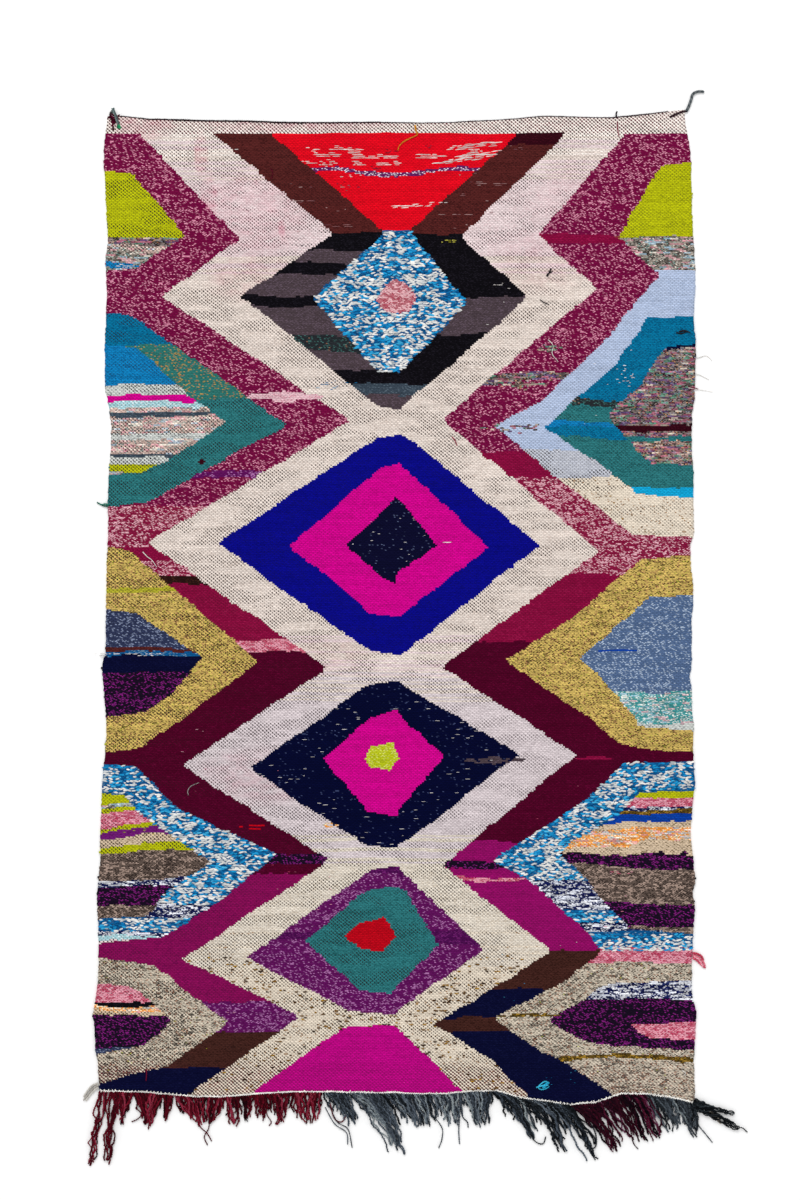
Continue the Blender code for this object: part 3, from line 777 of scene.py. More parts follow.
RIGHT_SWAY = (
    (-110.0, -0.3), (-103.8, -0.9), (-98.0, -0.7), (-92.0, -0.3), (-89.0, -1.0), (-86.0, -1.3),
    (-83.0, -1.0), (-71.0, 0.0), (-65.5, 0.7), (-62.6, 0.1), (-59.6, 0.9), (-53.8, 0.5),
    (-47.9, -0.2), (-42.0, 0.2), (-36.1, 0.8), (-33.0, 0.6), (-27.3, 0.2), (-21.4, 0.4),
    (-18.5, 0.0), (-12.6, -0.2), (-9.7, -0.7), (-6.7, -0.2), (5.0, -0.4), (8.0, 0.0), (13.8, -0.2),
    (16.8, -0.7), (22.7, -1.0), (25.6, 0.0), (31.5, -0.2), (40.3, -0.2), (46.2, -0.8),
    (55.0, -0.8), (58.0, -0.2), (72.6, 0.0), (78.5, -0.5), (84.4, 0.2), (90.0, 0.5),
    (105.0, 0.2), (120.0, 0.0), (126.0, -0.5),
)
HEADER_SWAY = (
    (-72.0, 0.0), (-65.5, -0.7), (-53.0, -0.7), (-41.0, -0.3), (-29.0, -0.4), (-10.0, -0.3),
    (8.0, -0.7), (20.0, -0.5), (45.0, -0.3), (57.0, 0.0), (63.0, 0.4),
)
LOWER_SWAY = (
    (-78.0, 0.6), (-53.0, 0.8), (-41.0, 0.7), (15.0, 0.6), (30.0, 0.2), (38.0, 0.0),
    (68.0, 0.0),
)
RIM_STEPS = 400


def swayed_rim(rim, sway, along_axis):
    """An edge of the solid in fine steps, moved sideways by its sway."""
    places = np.linspace(rim[0, along_axis], rim[-1, along_axis], RIM_STEPS)
    table = np.array(sway)
    moved = np.interp(places, rim[:, along_axis], rim[:, 1 - along_axis])
    moved = moved + np.interp(places * 100, table[:, 0], table[:, 1]) / 100
    columns = (places, moved) if along_axis == 0 else (moved, places)
    return np.stack(columns, axis=1)


LEFT_RIM, RIGHT_RIM, HEADER_RIM, LOWER_RIM = outline_of("woven_cloth")
LEFT_RIM = swayed_rim(LEFT_RIM, LEFT_SWAY, 1)
RIGHT_RIM = swayed_rim(RIGHT_RIM, RIGHT_SWAY, 1)
HEADER_RIM = swayed_rim(HEADER_RIM, HEADER_SWAY, 0)
LOWER_RIM = swayed_rim(LOWER_RIM, LOWER_SWAY, 0)


def cloth_place(across, along):
    """Where shares across and along the cloth lie: a rectangle closed in on the rims."""
    x = FIRST_X + FIRST_WIDTH * across
    y = FIRST_Y - FIRST_LENGTH * along
    for _ in range(4):
        left = np.interp(y, LEFT_RIM[:, 1], LEFT_RIM[:, 0])
        right = np.interp(y, RIGHT_RIM[:, 1], RIGHT_RIM[:, 0])
        x = left + (right - left) * across
        header = np.interp(x, HEADER_RIM[:, 0], HEADER_RIM[:, 1])
        lower = np.interp(x, LOWER_RIM[:, 0], LOWER_RIM[:, 1])
        y = header + (lower - header) * along
    return x, y


def solid_top(node):
    """A tree of a solid's faces, to find how high it stands."""
    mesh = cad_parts[node].data
    points = [v.co.copy() for v in mesh.vertices]
    return BVHTree.FromPolygons(points, [tuple(p.vertices) for p in mesh.polygons])


cloth_tree = solid_top("woven_cloth")


def cloth_top(x, y):
    """Height of the cloth's solid at a place, or its rim height just outside."""
    hit = cloth_tree.ray_cast(Vector((x, y, 1.0)), Vector((0, 0, -1)))
    return hit[0].z if hit[0] else RIM_HEIGHT


def relief(x, y):
    """How far the woven surface rises over the solid, in lumps and long cockles."""
    lump = noise.noise((x * 60, y * 95, 0.3)) * LUMP_HEIGHT
    return lump + noise.noise((x * 9, y * 14, 4.7)) * COCKLE_HEIGHT


def limit_at(name, along):
    """Place across of one limit of the pattern, in cm."""
    rows = np.array(LIMITS[name][::-1])
    return np.interp(along, rows[:, 0], rows[:, 1])


def woven_mesh():
    """The cloth as one closed sheet: lumpy above, flat below, with looped selvedges."""
    random.seed(CLOTH_SEED)
    shares_across = np.linspace(0, 1, ACROSS + 1)
    shares_along = np.linspace(0, 1, ALONG + 1)
    s, t = np.meshgrid(shares_across, shares_along)
    x, y = cloth_place(s, t)
    loops = np.array([random.uniform(-0.4, 1.0) for _ in range(ALONG + 1)]) * SELVEDGE_LOOP
    loops[::2] *= -0.5
    x[1:-1, 0] -= loops[1:-1]
    x[1:-1, -1] += np.roll(loops, 3)[1:-1]
    points = np.stack([x.ravel(), y.ravel(), np.zeros(x.size)], axis=1)
    inset_x = np.clip(x.ravel(), *SOLID_SIDES)
    for i, (px, py, _) in enumerate(points):
        points[i, 2] = cloth_top(inset_x[i], py) + relief(px, py)
    width = ACROSS + 1
    index = np.arange(width * (ALONG + 1)).reshape(ALONG + 1, width)
    faces = np.stack(
        [index[1:, :-1], index[1:, 1:], index[:-1, 1:], index[:-1, :-1]], axis=-1
    ).reshape(-1, 4)
    rim = [*index[0, :], *index[1:, -1], *index[-1, -2::-1], *index[-2:0:-1, 0]]
    rings = []
    top_rim = points[rim]
    inward = np.array(CLOTH_MIDDLE) - top_rim[:, :2]
    inward /= np.linalg.norm(inward, axis=1, keepdims=True)
    for drop, inset in ((0.5, -0.4), (0.0, 0.6)):
        ring = top_rim.copy()
        ring[:, 2] *= drop
        ring[:, :2] += inward * RIM_INSET * inset
        rings.append(ring)
    count = len(points)
    vertices = np.concatenate([points, *rings])
    size = len(rim)
    side = []
    skirt = list(range(count, count + size))
    foot = list(range(count + size, count + 2 * size))
    for upper, lower in ((rim, skirt), (skirt, foot)):
        for k in range(size):
            n = (k + 1) % size
            side.append((upper[k], upper[n], lower[n], lower[k]))
    bottom = [tuple(foot)]
    mesh = bpy.data.meshes.new("rag_cloth")
    mesh.from_pydata(vertices.tolist(), [], faces.tolist() + side + bottom)
    mesh.polygons.foreach_set("use_smooth", [True] * (len(mesh.polygons) - 1) + [False])
    return mesh


def charted_limit(tree, along, name):
    """The limit of one part of the pattern as a curve of the place along the rug."""
    node = tree.nodes.new("ShaderNodeFloatCurve")
    curve = node.mapping.curves[0]
    rows = reversed(LIMITS[name])
    shares = []
    for y, x in rows:
        place = (y - CHART_LOW) / (CHART_HIGH - CHART_LOW)
        if shares and place <= shares[-1][0]:
            place = shares[-1][0] + 0.001
        shares.append((place, (x + CHART_HALF) / (2 * CHART_HALF)))
    curve.points[0].location = (0.0, shares[0][1])
    curve.points[1].location = (1.0, shares[-1][1])
    for place, value in shares:
        curve.points.new(place, value)
    for point in curve.points:
        point.handle_type = "VECTOR"
    node.mapping.update()
    share = (along - CHART_LOW) / (CHART_HIGH - CHART_LOW)
    feed(tree, node.inputs["Value"], share)
    return Wire(tree, node.outputs[0]) * (2 * CHART_HALF) - CHART_HALF


def yarn_number(name):
    """A yarn's place in the basket, as a share of the basket."""
    return (list(YARNS).index(name) + 0.5) / BASKET_SIZE


def charted_stripes(tree, along, above, name):
    """Which yarn a part of the pattern has at a place along the rug."""
    rows = STRIPES[name]
    edges = (CHART_HIGH, *WINDOW_EDGES, CHART_LOW)
    result = None
    for window in reversed(range(len(edges) - 1)):
        high, low = edges[window], edges[window + 1]
        stops = []
        for i, (top, yarn) in enumerate(rows):
            bottom = rows[i + 1][0] if i + 1 < len(rows) else CHART_LOW
            if bottom >= high or (top <= low and i):
                continue
            place = max(0.0, (bottom - low) / (high - low))
            level = yarn_number(yarn)
            stops.append((place, (level, level, level, 1.0)))
        stops.reverse()
        if len(stops) == 1:
            chosen = stops[0][1][0]
        else:
            share = (along - low) / (high - low)
            chosen = ramp_of(tree, share, stops, "CONSTANT")
        if result is None or chosen == result:
            result = chosen
        else:
            result = layer(tree, above[window], result, chosen)
    return result


def basket_colour(tree, number, column):
    """The colour or the habits that a yarn has, from its number in the basket."""
    yarns = list(YARNS.values())
    banks = []
    for start in (0, BANK_SIZE):
        stops = []
        for k, yarn in enumerate(yarns[start : start + BANK_SIZE]):
            colour = (*yarn[2:5], 1.0) if column == "habits" else dye(yarn[column])
            stops.append((k / BANK_SIZE, colour))
        share = (number - start / BASKET_SIZE) * 2.0
        banks.append(ramp_of(tree, share, stops, "CONSTANT"))
    second = number > BANK_SIZE / BASKET_SIZE
    return layer(tree, second, banks[0], banks[1], "RGBA")


def flat_place(tree, across, along):
    """A place made of two numbers."""
    node = tree.nodes.new("ShaderNodeCombineXYZ")
    feed(tree, node.inputs[0], across)
    feed(tree, node.inputs[1], along)
    return Wire(tree, node.outputs[0])


def three_parts(tree, value, kind="Color"):
    """The three numbers in a place or a colour."""
    node = tree.nodes.new("ShaderNodeSeparate" + kind)
    feed(tree, node.inputs[0], value)
    return [Wire(tree, output) for output in node.outputs]


def white_noise(tree, across, along):
    """A random number and three more, the same all over one float."""
    node = tree.nodes.new("ShaderNodeTexWhiteNoise")
    node.noise_dimensions = "2D"
    feed(tree, node.inputs["Vector"], flat_place(tree, across, along))
    return Wire(tree, node.outputs["Value"]), Wire(tree, node.outputs["Color"])


def varied(wire, depth):
    """A factor about one that rises and falls with a wire from 0 to 1."""
    return wire * depth + (1.0 - depth / 2)


def rag_weave():
    """The cloth's finish: every float takes the yarn that the chart gives at its middle."""
    finish = bpy.data.materials.new("rag_weave")
    finish.use_nodes = True
    tree = finish.node_tree
    shader = tree.nodes["Principled BSDF"]
    place = object_place(tree)
    across, along, _ = three_parts(tree, place, "XYZ")
    across = across * 100.0
    along = along * 100.0

    # Rows of weft wander a little, in long bows and in short ripples.
    bow = (cloud(tree, place, 2.2) - 0.5) * BOW_CM
    ripple = (cloud(tree, place, 24.0) - 0.5) * RIPPLE_CM
    wander = along + (bow + ripple)
    sway = (cloud(tree, place, 17.0) - 0.5) * SWAY_CM
    swayed = across + sway

    row_run = wander / ROW_CM
    row = row_run.floor()
    row_along = (row + 0.5) * ROW_CM
    phase = (row * 0.5).fract()
    float_run = swayed / FLOAT_CM + phase
    column = float_run.floor()
    middle = column - phase + 0.5
    float_across = middle * FLOAT_CM

    chance, tints = white_noise(tree, column, row)
    pair = (row * 0.5).floor()
    ragged_row, _ = white_noise(tree, pair, 7.0)
    ragged = (ragged_row - 0.5) * RAGGED_CM
    half_column = (float_run * 2.0).floor()
    half_middle = half_column * 0.5 + 0.25
    half_across = (half_middle - phase) * FLOAT_CM
    test_across = half_across + ragged

    # Stripes drift and break more than the rows do, and lots of ivory mix row by row.
    float_place = flat_place(tree, float_across, row_along)
    wobble = cloud(tree, stretched(tree, float_place, (0.07, 0.16, 1.0)), 1.0, 2.0)
    test_across = test_across + (wobble - 0.5) * WOBBLE_CM
    drift = cloud(tree, stretched(tree, float_place, (0.045, 0.10, 1.0)), 1.0, 1.0)
    flicker = cloud(tree, stretched(tree, float_place, (0.30, 0.9, 1.0)), 1.0, 1.0)
    stripe_along = row_along + (drift - 0.5) * DRIFT_CM
    stripe_along = stripe_along + (flicker - 0.5) * FLICKER_CM
    for centre_across, centre_along, reach_across, reach_along, dip in BOWS:
        dx = (float_across - centre_across) / reach_across
        dy = (row_along - centre_along) / reach_along
        far = dx * dx + dy * dy
        bump = dip / (1.0 + far * far)
        stripe_along = stripe_along + bump
    ground_row, _ = white_noise(tree, row, 3.0)
    ground_along = row_along + (ground_row - 0.5) * GROUND_MIX_CM

    # The chart, from the ground up to the hearts of the diamonds and chevrons.
    under_header = row_along < HEADER_LOW
    right_half = float_across > MIDDLE_ACROSS

    def stripes(name, place=stripe_along):
        above = [place > edge for edge in WINDOW_EDGES]
        return charted_stripes(tree, place, above, name)

    ground = layer(tree, under_header, row_along, ground_along)
    yarn = stripes("ivory", ground)
    for left, right, name in PARTS:
        inside = under_header
        if left:
            inside = inside * (test_across > charted_limit(tree, row_along, left))
        if right:
            inside = inside * (test_across < charted_limit(tree, row_along, right))
        if name == "outer":
            stripe = layer(tree, right_half, stripes("outer_left"), stripes("outer_right"))
        else:
            stripe = stripes(name)
        yarn = layer(tree, inside, yarn, stripe)

    for centre_across, centre_along, half_across, half_along, fill, patch_yarn in PATCHES:
        dx = (float_across - centre_across) / half_across
        dy = (row_along - centre_along) / half_along
        reach_row, _ = white_noise(tree, row, centre_across)
        far = abs(dx) + dy * dy + (reach_row - 0.5) * 0.7
        inside = far < PATCH_REACH
        if fill < 1.0:
            inside = inside * (chance < fill)
        yarn = layer(tree, inside, yarn, yarn_number(patch_yarn))

    # Main colour, flecks of the second colour, stray colours.
    main = basket_colour(tree, yarn, 0)
    second = basket_colour(tree, yarn, 1)
    even_share, stray, dots = three_parts(tree, basket_colour(tree, yarn, "habits"))
    mixing = cloud(tree, object_place(tree, (7.0, 42.0, 1.0)), 1.0, 3.0, 0.6)
    mixing = (mixing - 0.5) * 2.6 + 1.0
    share = even_share * mixing.clamped(0.4, 1.8)
    slant = row_run.fract() * TWIST_SLANT
    fine_run = swayed * (TWISTS_A_FLOAT / FLOAT_CM) + slant
    fine_run = fine_run + row * 0.37
    fine_row = (row_run * 2.0).floor()
    fine_column = fine_run.floor()
    fine_chance, fine_tints = white_noise(tree, fine_column, fine_row)
    turn = ((fine_column + fine_row) * 0.5).fract()
    fine_chance = fine_chance * 0.58 + turn * 0.84
    fleck = (share - fine_chance) / share
    fleck = (fleck * 1.8).clamped()
    wide_share = ((even_share - 0.30) * 3.0).at_least(share * 0.05)
    wide_fleck = chance < wide_share
    fleck = fleck.at_least(wide_fleck * 0.7)
    colour = layer(tree, fleck, main, second, "RGBA")
    tint = three_parts(tree, tints)
    fine_tint = three_parts(tree, fine_tints)

    def stray_colour(value):
        chosen = None
        for step, codes in zip((0.0, *STRAY_STEPS), STRAYS):
            stops = [(k / len(codes), dye(code)) for k, code in enumerate(codes)]
            colours = ramp_of(tree, value, stops, "CONSTANT")
            if chosen is None:
                chosen = colours
            else:
                chosen = layer(tree, stray > step, chosen, colours, "RGBA")
        return chosen

    # A mixed yarn also changes colour in dashes along the row.
    dash_run = swayed / DASH_CM + row * 0.61
    dash_chance, dash_tints = white_noise(tree, dash_run.floor(), row)
    dash_tint = three_parts(tree, dash_tints)
    is_dash = dash_chance < stray * 1.7
    is_dash = is_dash * (stray > STRAY_STEPS[0])
    dash_share = is_dash * (stray + 0.45).at_most(0.85)
    colour = layer(tree, dash_share, colour, stray_colour(dash_tint[0]), "RGBA")
    is_stray = fine_chance > 1.0 - stray
    speck = stray_colour(fine_tint[0])
    colour = layer(tree, is_stray * 0.75, colour, speck, "RGBA")

    # Each float is a small pillow, with painted shade where it dips under a warp and along its row
    # edges; the same pillow also raises the bump.
    u = float_run.fract() - 0.5
    v = row_run.fract() - 0.5
    end = abs(u * 2.0) ** 3.0
    edge = abs(v * 2.0) ** 2.0
    pillow = (1.0 - end) * (1.0 - edge)
    light = pillow * 0.40 + 0.78
    streaks = cloud(tree, object_place(tree, (4.0, 110.0, 1.0)), 1.0, 3.0)
    light = light * varied(streaks, STREAK_DEPTH)
    patches = cloud(tree, place, 6.0, 3.0)
    light = light * varied(patches, PATCH_DEPTH)
    light = light * varied(tint[1], FLOAT_DEPTH)
    row_tone = (dash_tint[1] - 0.5) * ROW_DEPTH
    is_mixed = (stray * 4.0).at_most(1.0)
    light = light * (row_tone * is_mixed + 1.0)
    light = light * varied(fine_tint[1], TWIST_DEPTH)
    colour = shaded(tree, colour, light)

    # Dye from the wine warps has run into the ivory here and there.
    blot_cloud = cloud(tree, object_place(tree, (26.0, 60.0, 1.0)), 1.0, 3.0, 0.6)
    blotchy = (blot_cloud - 0.30) * 2.6
    stained = 0.0
    for centre_across, centre_along, half_across, half_along, strength in STAINS:
        dx = (across - centre_across) / half_across
        dy = (along - centre_along) / half_along
        near = (1.0 - (dx * dx + dy * dy).root()).at_least(0.0)
        spot = (near * 2.2).at_most(1.0) * strength
        stained = spot.at_least(stained)
    is_ivory = yarn < yarn_number("burgundy_tweed") - 0.5 / BASKET_SIZE
    stained = (stained * is_ivory * blotchy).clamped()
    colour = layer(tree, stained, colour, dye(STAIN_COLOUR), "RGBA")

    # Warps show as dark dots between the ends of two floats: the warps' own dark wool, with painted
    # shade where they lie deep between the floats.
    share_run = float_run.fract()
    from_end = share_run - share_run.rounded()
    dot_v = v * ROW_CM
    dot_u = from_end * FLOAT_CM + dot_v * 0.5
    spread = (dot_u * dot_u + dot_v * dot_v).root()
    in_header = 1.0 - under_header
    low_rows = ((LOWEST_ROWS - row_along) * 0.25).clamped()
    at_ends = (in_header * 1.1).at_least(low_rows)
    dot_size = tint[2] * 0.08 + SMALLEST_DOT
    dot_size = dot_size + low_rows * 0.08 + in_header * 0.045
    dot = spread < dot_size
    dot_cloud = cloud(tree, object_place(tree, (9.0, 34.0, 1.0)), 1.0, 2.0)
    dot_patch = ((dot_cloud - 0.45) * 9.0).clamped().at_least(at_ends)
    # Painted shade across the rug: the dots strengthen to the left, so the cloth darkens towards its
    # left side.
    dots = dots * (1.0 - across * PAINTED_SHADE_TO_THE_LEFT)
    strength = (dot * dots * (dot_patch + 0.16)).at_most(0.95)
    wine_warps = (stained * 2.5 + at_ends * 0.6) * (tint[1] * 1.6)
    wine_warps = wine_warps.at_most(1.0)
    dot_colour = layer(tree, wine_warps, dye(WARP_SHADOW), dye(WINE_SHADOW), "RGBA")
    colour = layer(tree, strength, colour, dot_colour, "RGBA")
    feed(tree, shader.inputs["Base Color"], colour)

    fibres = cloud(tree, place, 700.0, 2.0, 0.7)
    height = pillow + fibres * 0.35 + chance * 0.30
    raise_surface(tree, shader, height, 0.0011, 0.85)
    shader.inputs["Roughness"].default_value = 0.95
    shader.inputs["Specular IOR Level"].default_value = 0.03
    return finish


cloth_mesh = woven_mesh()
cloth_mesh.materials.append(rag_weave())
rag_cloth = bpy.data.objects.new("rag_cloth", cloth_mesh)
bpy.context.scene.collection.objects.link(rag_cloth)
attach(rag_cloth, "root")
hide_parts("woven_cloth")


# Raised rag floats: in the blue and white parts the weft is a thick, loosely spun rag
# that stands up between the warps in soft lumps, some of them blue and some white.
LUMP_ACROSS = 0.94
LUMP_ALONG = 0.47
LUMP_HALF = (0.0060, 0.0025, 0.0020)
LUMP_SIDES = 6
LUMP_BANDS = 3
LUMP_SEED = 23
BLUE_PARTS = ((99.3, 53.3), (-28.8, -77.0))
FIRST_LUMP = -79.0
LAST_LUMP = 69.0
BLUE_RAG = ("08416e", "0d639c", "1583bd", "1f97cc", "4fb4dc")
WHITE_RAG = ("a8b2b8", "c9cccd", "dcdad6", "ebe8e3")


def yarn_at(across, along):
    """The yarn that the chart gives at one place, in cm."""

    def read(name):
        for top, yarn in reversed(STRIPES[name]):
            if along <= top:
                return yarn
        return STRIPES[name][0][1]

    for left, right, name in reversed(PARTS):
        if left and across <= limit_at(left, along):
            continue
        if right and across >= limit_at(right, along):
            continue
        if name == "outer":
            name = "outer_left" if across < MIDDLE_ACROSS else "outer_right"
        return read(name)
    return read("ivory")


def raised_floats(name, codes, white_ones):
    """Soft lumps over the floats of the blue and white rag, those of one colour."""
    random.seed(LUMP_SEED)
    turns = np.arange(LUMP_SIDES) * 2 * math.pi / LUMP_SIDES
    heights = np.linspace(-0.5, 1.0, LUMP_BANDS + 1)[1:-1]
    unit = [(0.0, 0.0, 1.0)]
    for height in reversed(heights):
        width = math.sqrt(1 - height * height)
        unit += [(width * math.cos(a), width * math.sin(a), height) for a in turns]
    unit += [(0.75 * math.cos(a), 0.75 * math.sin(a), -0.6) for a in turns]
    unit = np.array(unit)
    rings = len(heights) + 1
    shell = [(0, 1 + k, 1 + (k + 1) % LUMP_SIDES) for k in range(LUMP_SIDES)]
    for ring in range(rings - 1):
        lower = 1 + (ring + 1) * LUMP_SIDES
        upper = 1 + ring * LUMP_SIDES
        for k in range(LUMP_SIDES):
            n = (k + 1) % LUMP_SIDES
            shell.append((lower + k, lower + n, upper + n, upper + k))
    last = 1 + (rings - 1) * LUMP_SIDES
    shell.append(tuple(last + k for k in reversed(range(LUMP_SIDES))))
    points = []
    faces = []
    shades = []
    for high, low in BLUE_PARTS:
        along = high - LUMP_ALONG / 2
        row = 0
        while along > low:
            across = FIRST_LUMP + (row % 2) * LUMP_ACROSS / 2
            while across < LAST_LUMP:
                across += LUMP_ACROSS
                patch = noise.noise((across * 0.30, along * 0.75, 1.5))
                white = patch * 1.6 + random.uniform(-1.0, 1.0) > -0.02
                x = across + random.uniform(-0.22, 0.22)
                y = along + random.uniform(-0.13, 0.13)
                missing = random.random() < 0.08
                size = np.array(LUMP_HALF) * random.uniform(0.75, 1.2)
                size[0] *= random.uniform(0.8, 1.5)
                turn = random.uniform(-0.45, 0.45)
                shade = random.random()
                if white != white_ones or missing or yarn_at(x, y) != "blue_white":
                    continue
                edge = np.interp(y / 100, LEFT_RIM[:, 1], LEFT_RIM[:, 0]) * 100
                far = np.interp(y / 100, RIGHT_RIM[:, 1], RIGHT_RIM[:, 0]) * 100
                if not edge + 0.4 < x < far - 0.4:
                    continue
                lump = unit * size
                cosine, sine = math.cos(turn), math.sin(turn)
                turned = lump.copy()
                turned[:, 0] = lump[:, 0] * cosine - lump[:, 1] * sine
                turned[:, 1] = lump[:, 0] * sine + lump[:, 1] * cosine
                top = cloth_top(x / 100, y / 100) + relief(x / 100, y / 100)
                turned += (x / 100, y / 100, top + 0.0002)
                start = len(points) * len(unit)
                points.append(turned)
                faces.extend(tuple(start + k for k in face) for face in shell)
                shades.append(np.full(len(unit), shade))
            along -= LUMP_ALONG
            row += 1
    soft_piece(name, points, faces, shades, wool_finish(name + "_rag", codes, 0.25))


raised_floats("blue_rag_floats", BLUE_RAG, False)
raised_floats("white_rag_floats", WHITE_RAG, True)


# Rag slivers: short bits of pale or dark rag that were woven in among the wefts and lie
# along the rows on top of them, as little raised dashes.
SLIVER_RADIUS = 0.0009
SLIVER_SEED = 27

# Colours from dark to light, then places: across, along, half width, half height (cm),
# how many, their length (cm), how far the rows rise to the right, and the yarn that they
# keep to, if any.
SLIVERS = {
    "white_rag_slivers": (
        ("b4aeac", "d8d3d0", "efebe8"),
        (
            (-25.6, 119.4, 2.0, 0.73, 5, 1.2, 0),
            (-17.3, 119.4, 4.4, 0.61, 20, 1.9, -0.08),
            (-22.2, 118.2, 3.2, 0.49, 16, 1.6, 0),
            (-10.4, 117.7, 4.9, 0.49, 24, 2.0, 0),
            (3.3, 117.8, 3.2, 0.54, 26, 1.9, 0),
            (13.1, 120.3, 7.1, 0.49, 26, 2.3, 0.1),
            (14.1, 119.2, 1.7, 0.49, 9, 1.2, 0),
            (14.6, 118.1, 5.1, 0.54, 32, 2.2, 0.13),
            (-26.6, 116.5, 1.7, 0.37, 6, 1.2, 0),
            (-21.9, 116.1, 2.0, 0.73, 16, 1.0, 0),
            (-14.8, 116.1, 2.0, 0.61, 12, 1.0, 0),
            (-7.2, 116.1, 2.9, 0.39, 14, 1.8, 0),
            (9.7, 116.7, 5.9, 0.37, 28, 2.2, 0.13),
            (-1.3, 105.7, 4.4, 0.29, 14, 1.7, 0.08),
            (5.5, 106.5, 2.5, 0.22, 5, 1.2, 0.1),
            (20.2, 86.1, 2.2, 0.73, 6, 0.7, 0),
            (50.8, 63.8, 2.2, 2.94, 14, 0.7, 0),
            (-71.4, 90.8, 2.0, 0.39, 9, 1.0, 0),
            (6.7, 23.2, 1.2, 0.15, 3, 1.5, 0),
            (-44.2, 119.2, 0.2, 0.49, 2, 0.7, 0),
            (-12.0, 113.2, 7.3, 0.5, 10, 0.8, 0),
            (40.0, 62.0, 14.0, 12.0, 8, 0.6, 0),
            (22.0, 78.0, 6.0, 6.0, 7, 0.6, 0),
            (-4.0, -31.0, 42.0, 22.0, 210, 1.1, 0, "navy_flecked"),
            (-71.0, -4.1, 8.0, 0.3, 26, 1.0, 0),
            (-4.0, 22.0, 20.0, 12.0, 60, 0.6, 0, "black_speckled"),
            (44.0, 3.0, 26.0, 16.0, 40, 0.4, 0, "dark_wine"),
            (20.0, -90.0, 40.0, 20.0, 16, 0.4, 0, "bright_plum"),
        ),
    ),
    "brown_rag_slivers": (
        ("24150a", "44290f", "7a5519", "a87f28"),
        (
            (-4.0, -95.0, 60.0, 17.0, 900, 0.85, 0, "flecked_cream"),
            (30.0, 33.0, 38.0, 8.0, 150, 0.5, 0, "flecked_cream"),
            (-4.0, -86.0, 50.0, 8.0, 160, 0.8, 0, "flecked_cream"),
        ),
    ),
    "dark_rag_slivers": (
        ("14101c", "232034", "3a3450"),
        (
            (-6.5, 119.2, 1.5, 0.49, 6, 1.0, 0),
            (-10.4, 114.3, 2.2, 0.86, 12, 1.0, 0),
            (-17.8, 110.6, 4.9, 0.98, 5, 0.7, 0),
            (3.1, 120.4, 1.2, 0.49, 3, 0.7, 0),
            (30.0, 90.0, 9.0, 7.0, 5, 0.6, 0),
            (-40.0, 92.0, 12.0, 8.0, 5, 0.6, 0),
        ),
    ),
    "pale_brown_slivers": (
        ("70444a", "8c6464", "b09290"),
        (
            (-28.8, 106.7, 3.4, 0.32, 7, 1.7, 0),
            (-20.2, 100.8, 3.4, 0.24, 6, 1.7, 0),
            (-17.8, 110.6, 1.5, 0.24, 3, 1.2, 0),
            (14.8, 111.4, 2.0, 0.37, 5, 1.5, 0),
            (10.9, 108.4, 1.2, 0.29, 4, 1.0, 0),
            (20.2, 110.9, 2.2, 0.24, 5, 1.5, 0),
            (9.2, 103.5, 3.4, 0.24, 5, 1.7, 0),
            (23.9, 119.9, 1.7, 0.29, 4, 1.0, 0),
            (-24.0, 104.0, 7.0, 9.0, 10, 0.8, 0),
            (14.0, 106.0, 6.0, 8.0, 8, 0.8, 0),
        ),
    ),
    "rose_rag_slivers": (
        ("b23a5c", "cf7490", "e6b0bf"),
        (
            (52.0, -69.0, 8.0, 6.0, 8, 0.8, 0),
            (50.0, -57.5, 3.0, 0.3, 10, 1.0, 0),
            (-28.0, -62.0, 9.0, 8.0, 12, 0.6, 0),
            (-46.0, -28.0, 12.0, 12.0, 8, 0.6, 0),
            (30.0, -35.0, 12.0, 12.0, 6, 0.6, 0),
            (-40.0, -91.0, 10.0, 3.0, 7, 0.6, 0),
        ),
    ),
    "yellow_rag_slivers": (
        ("8f8a1c", "bdb63c", "d8cf6a"),
        (
            (7.5, 97.1, 1.6, 0.3, 8, 0.8, 0),
            (49.3, 98.2, 1.6, 0.6, 7, 0.5, 0),
            (-68.0, -47.6, 6.0, 0.9, 8, 0.8, 0),
            (-56.0, -97.0, 5.0, 4.0, 8, 0.5, 0),
        ),
    ),
    "blue_rag_slivers": (
        ("0b4f7c", "1a7aae", "4aa3c8"),
        (
            (25.5, -83.0, 8.0, 6.0, 6, 0.5, 0),
            (33.0, -107.0, 6.0, 4.0, 9, 0.4, 0),
            (-20.0, 61.5, 5.0, 1.2, 14, 0.9, 0),
        ),
    ),
}


def rag_slivers(name, codes, places):
    """All the dashes of one rag; the brown rag is the thickest, and short bits are thin."""
    skein = Skein()
    is_thick = name == "brown_rag_slivers"
    girth = SLIVER_RADIUS * (2.0 if is_thick else 1.0)
    for across, along, half_across, half_along, count, length, rise, *only in places:
        is_thin = length < 0.7 or (only and not is_thick)
        for _ in range(count):
            aside = random.uniform(-1.0, 1.0) * half_across
            along_place = along + random.uniform(-1.0, 1.0) * half_along + aside * rise
            row = (math.floor(along_place / ROW_CM) + 0.5) * ROW_CM
            half = length / 200 * random.uniform(0.45, 1.3)
            x = (across + aside) / 100
            if only and yarn_at(across + aside, row) != only[0]:
                continue
            line = []
            for share in (-1.0, -0.45, 0.45, 1.0):
                px = x + share * half
                py = row / 100 + share * half * rise + random.uniform(-0.0003, 0.0003)
                lift = girth - 0.0005 if abs(share) < 1 else -0.0005
                line.append((px, py, cloth_top(px, py) + relief(px, py) + lift))
            width = girth * random.uniform(0.7, 1.2) * (0.6 if is_thin else 1.0)
            radii = (width * 0.6, width, width, width * 0.6)
            skein.tube(line, radii, random.random(), 5)
    skein.piece(name, wool_finish(name + "_wool", codes, 0.25))


random.seed(SLIVER_SEED)
for sliver_name, (sliver_codes, sliver_places) in SLIVERS.items():
    rag_slivers(sliver_name, sliver_codes, sliver_places)


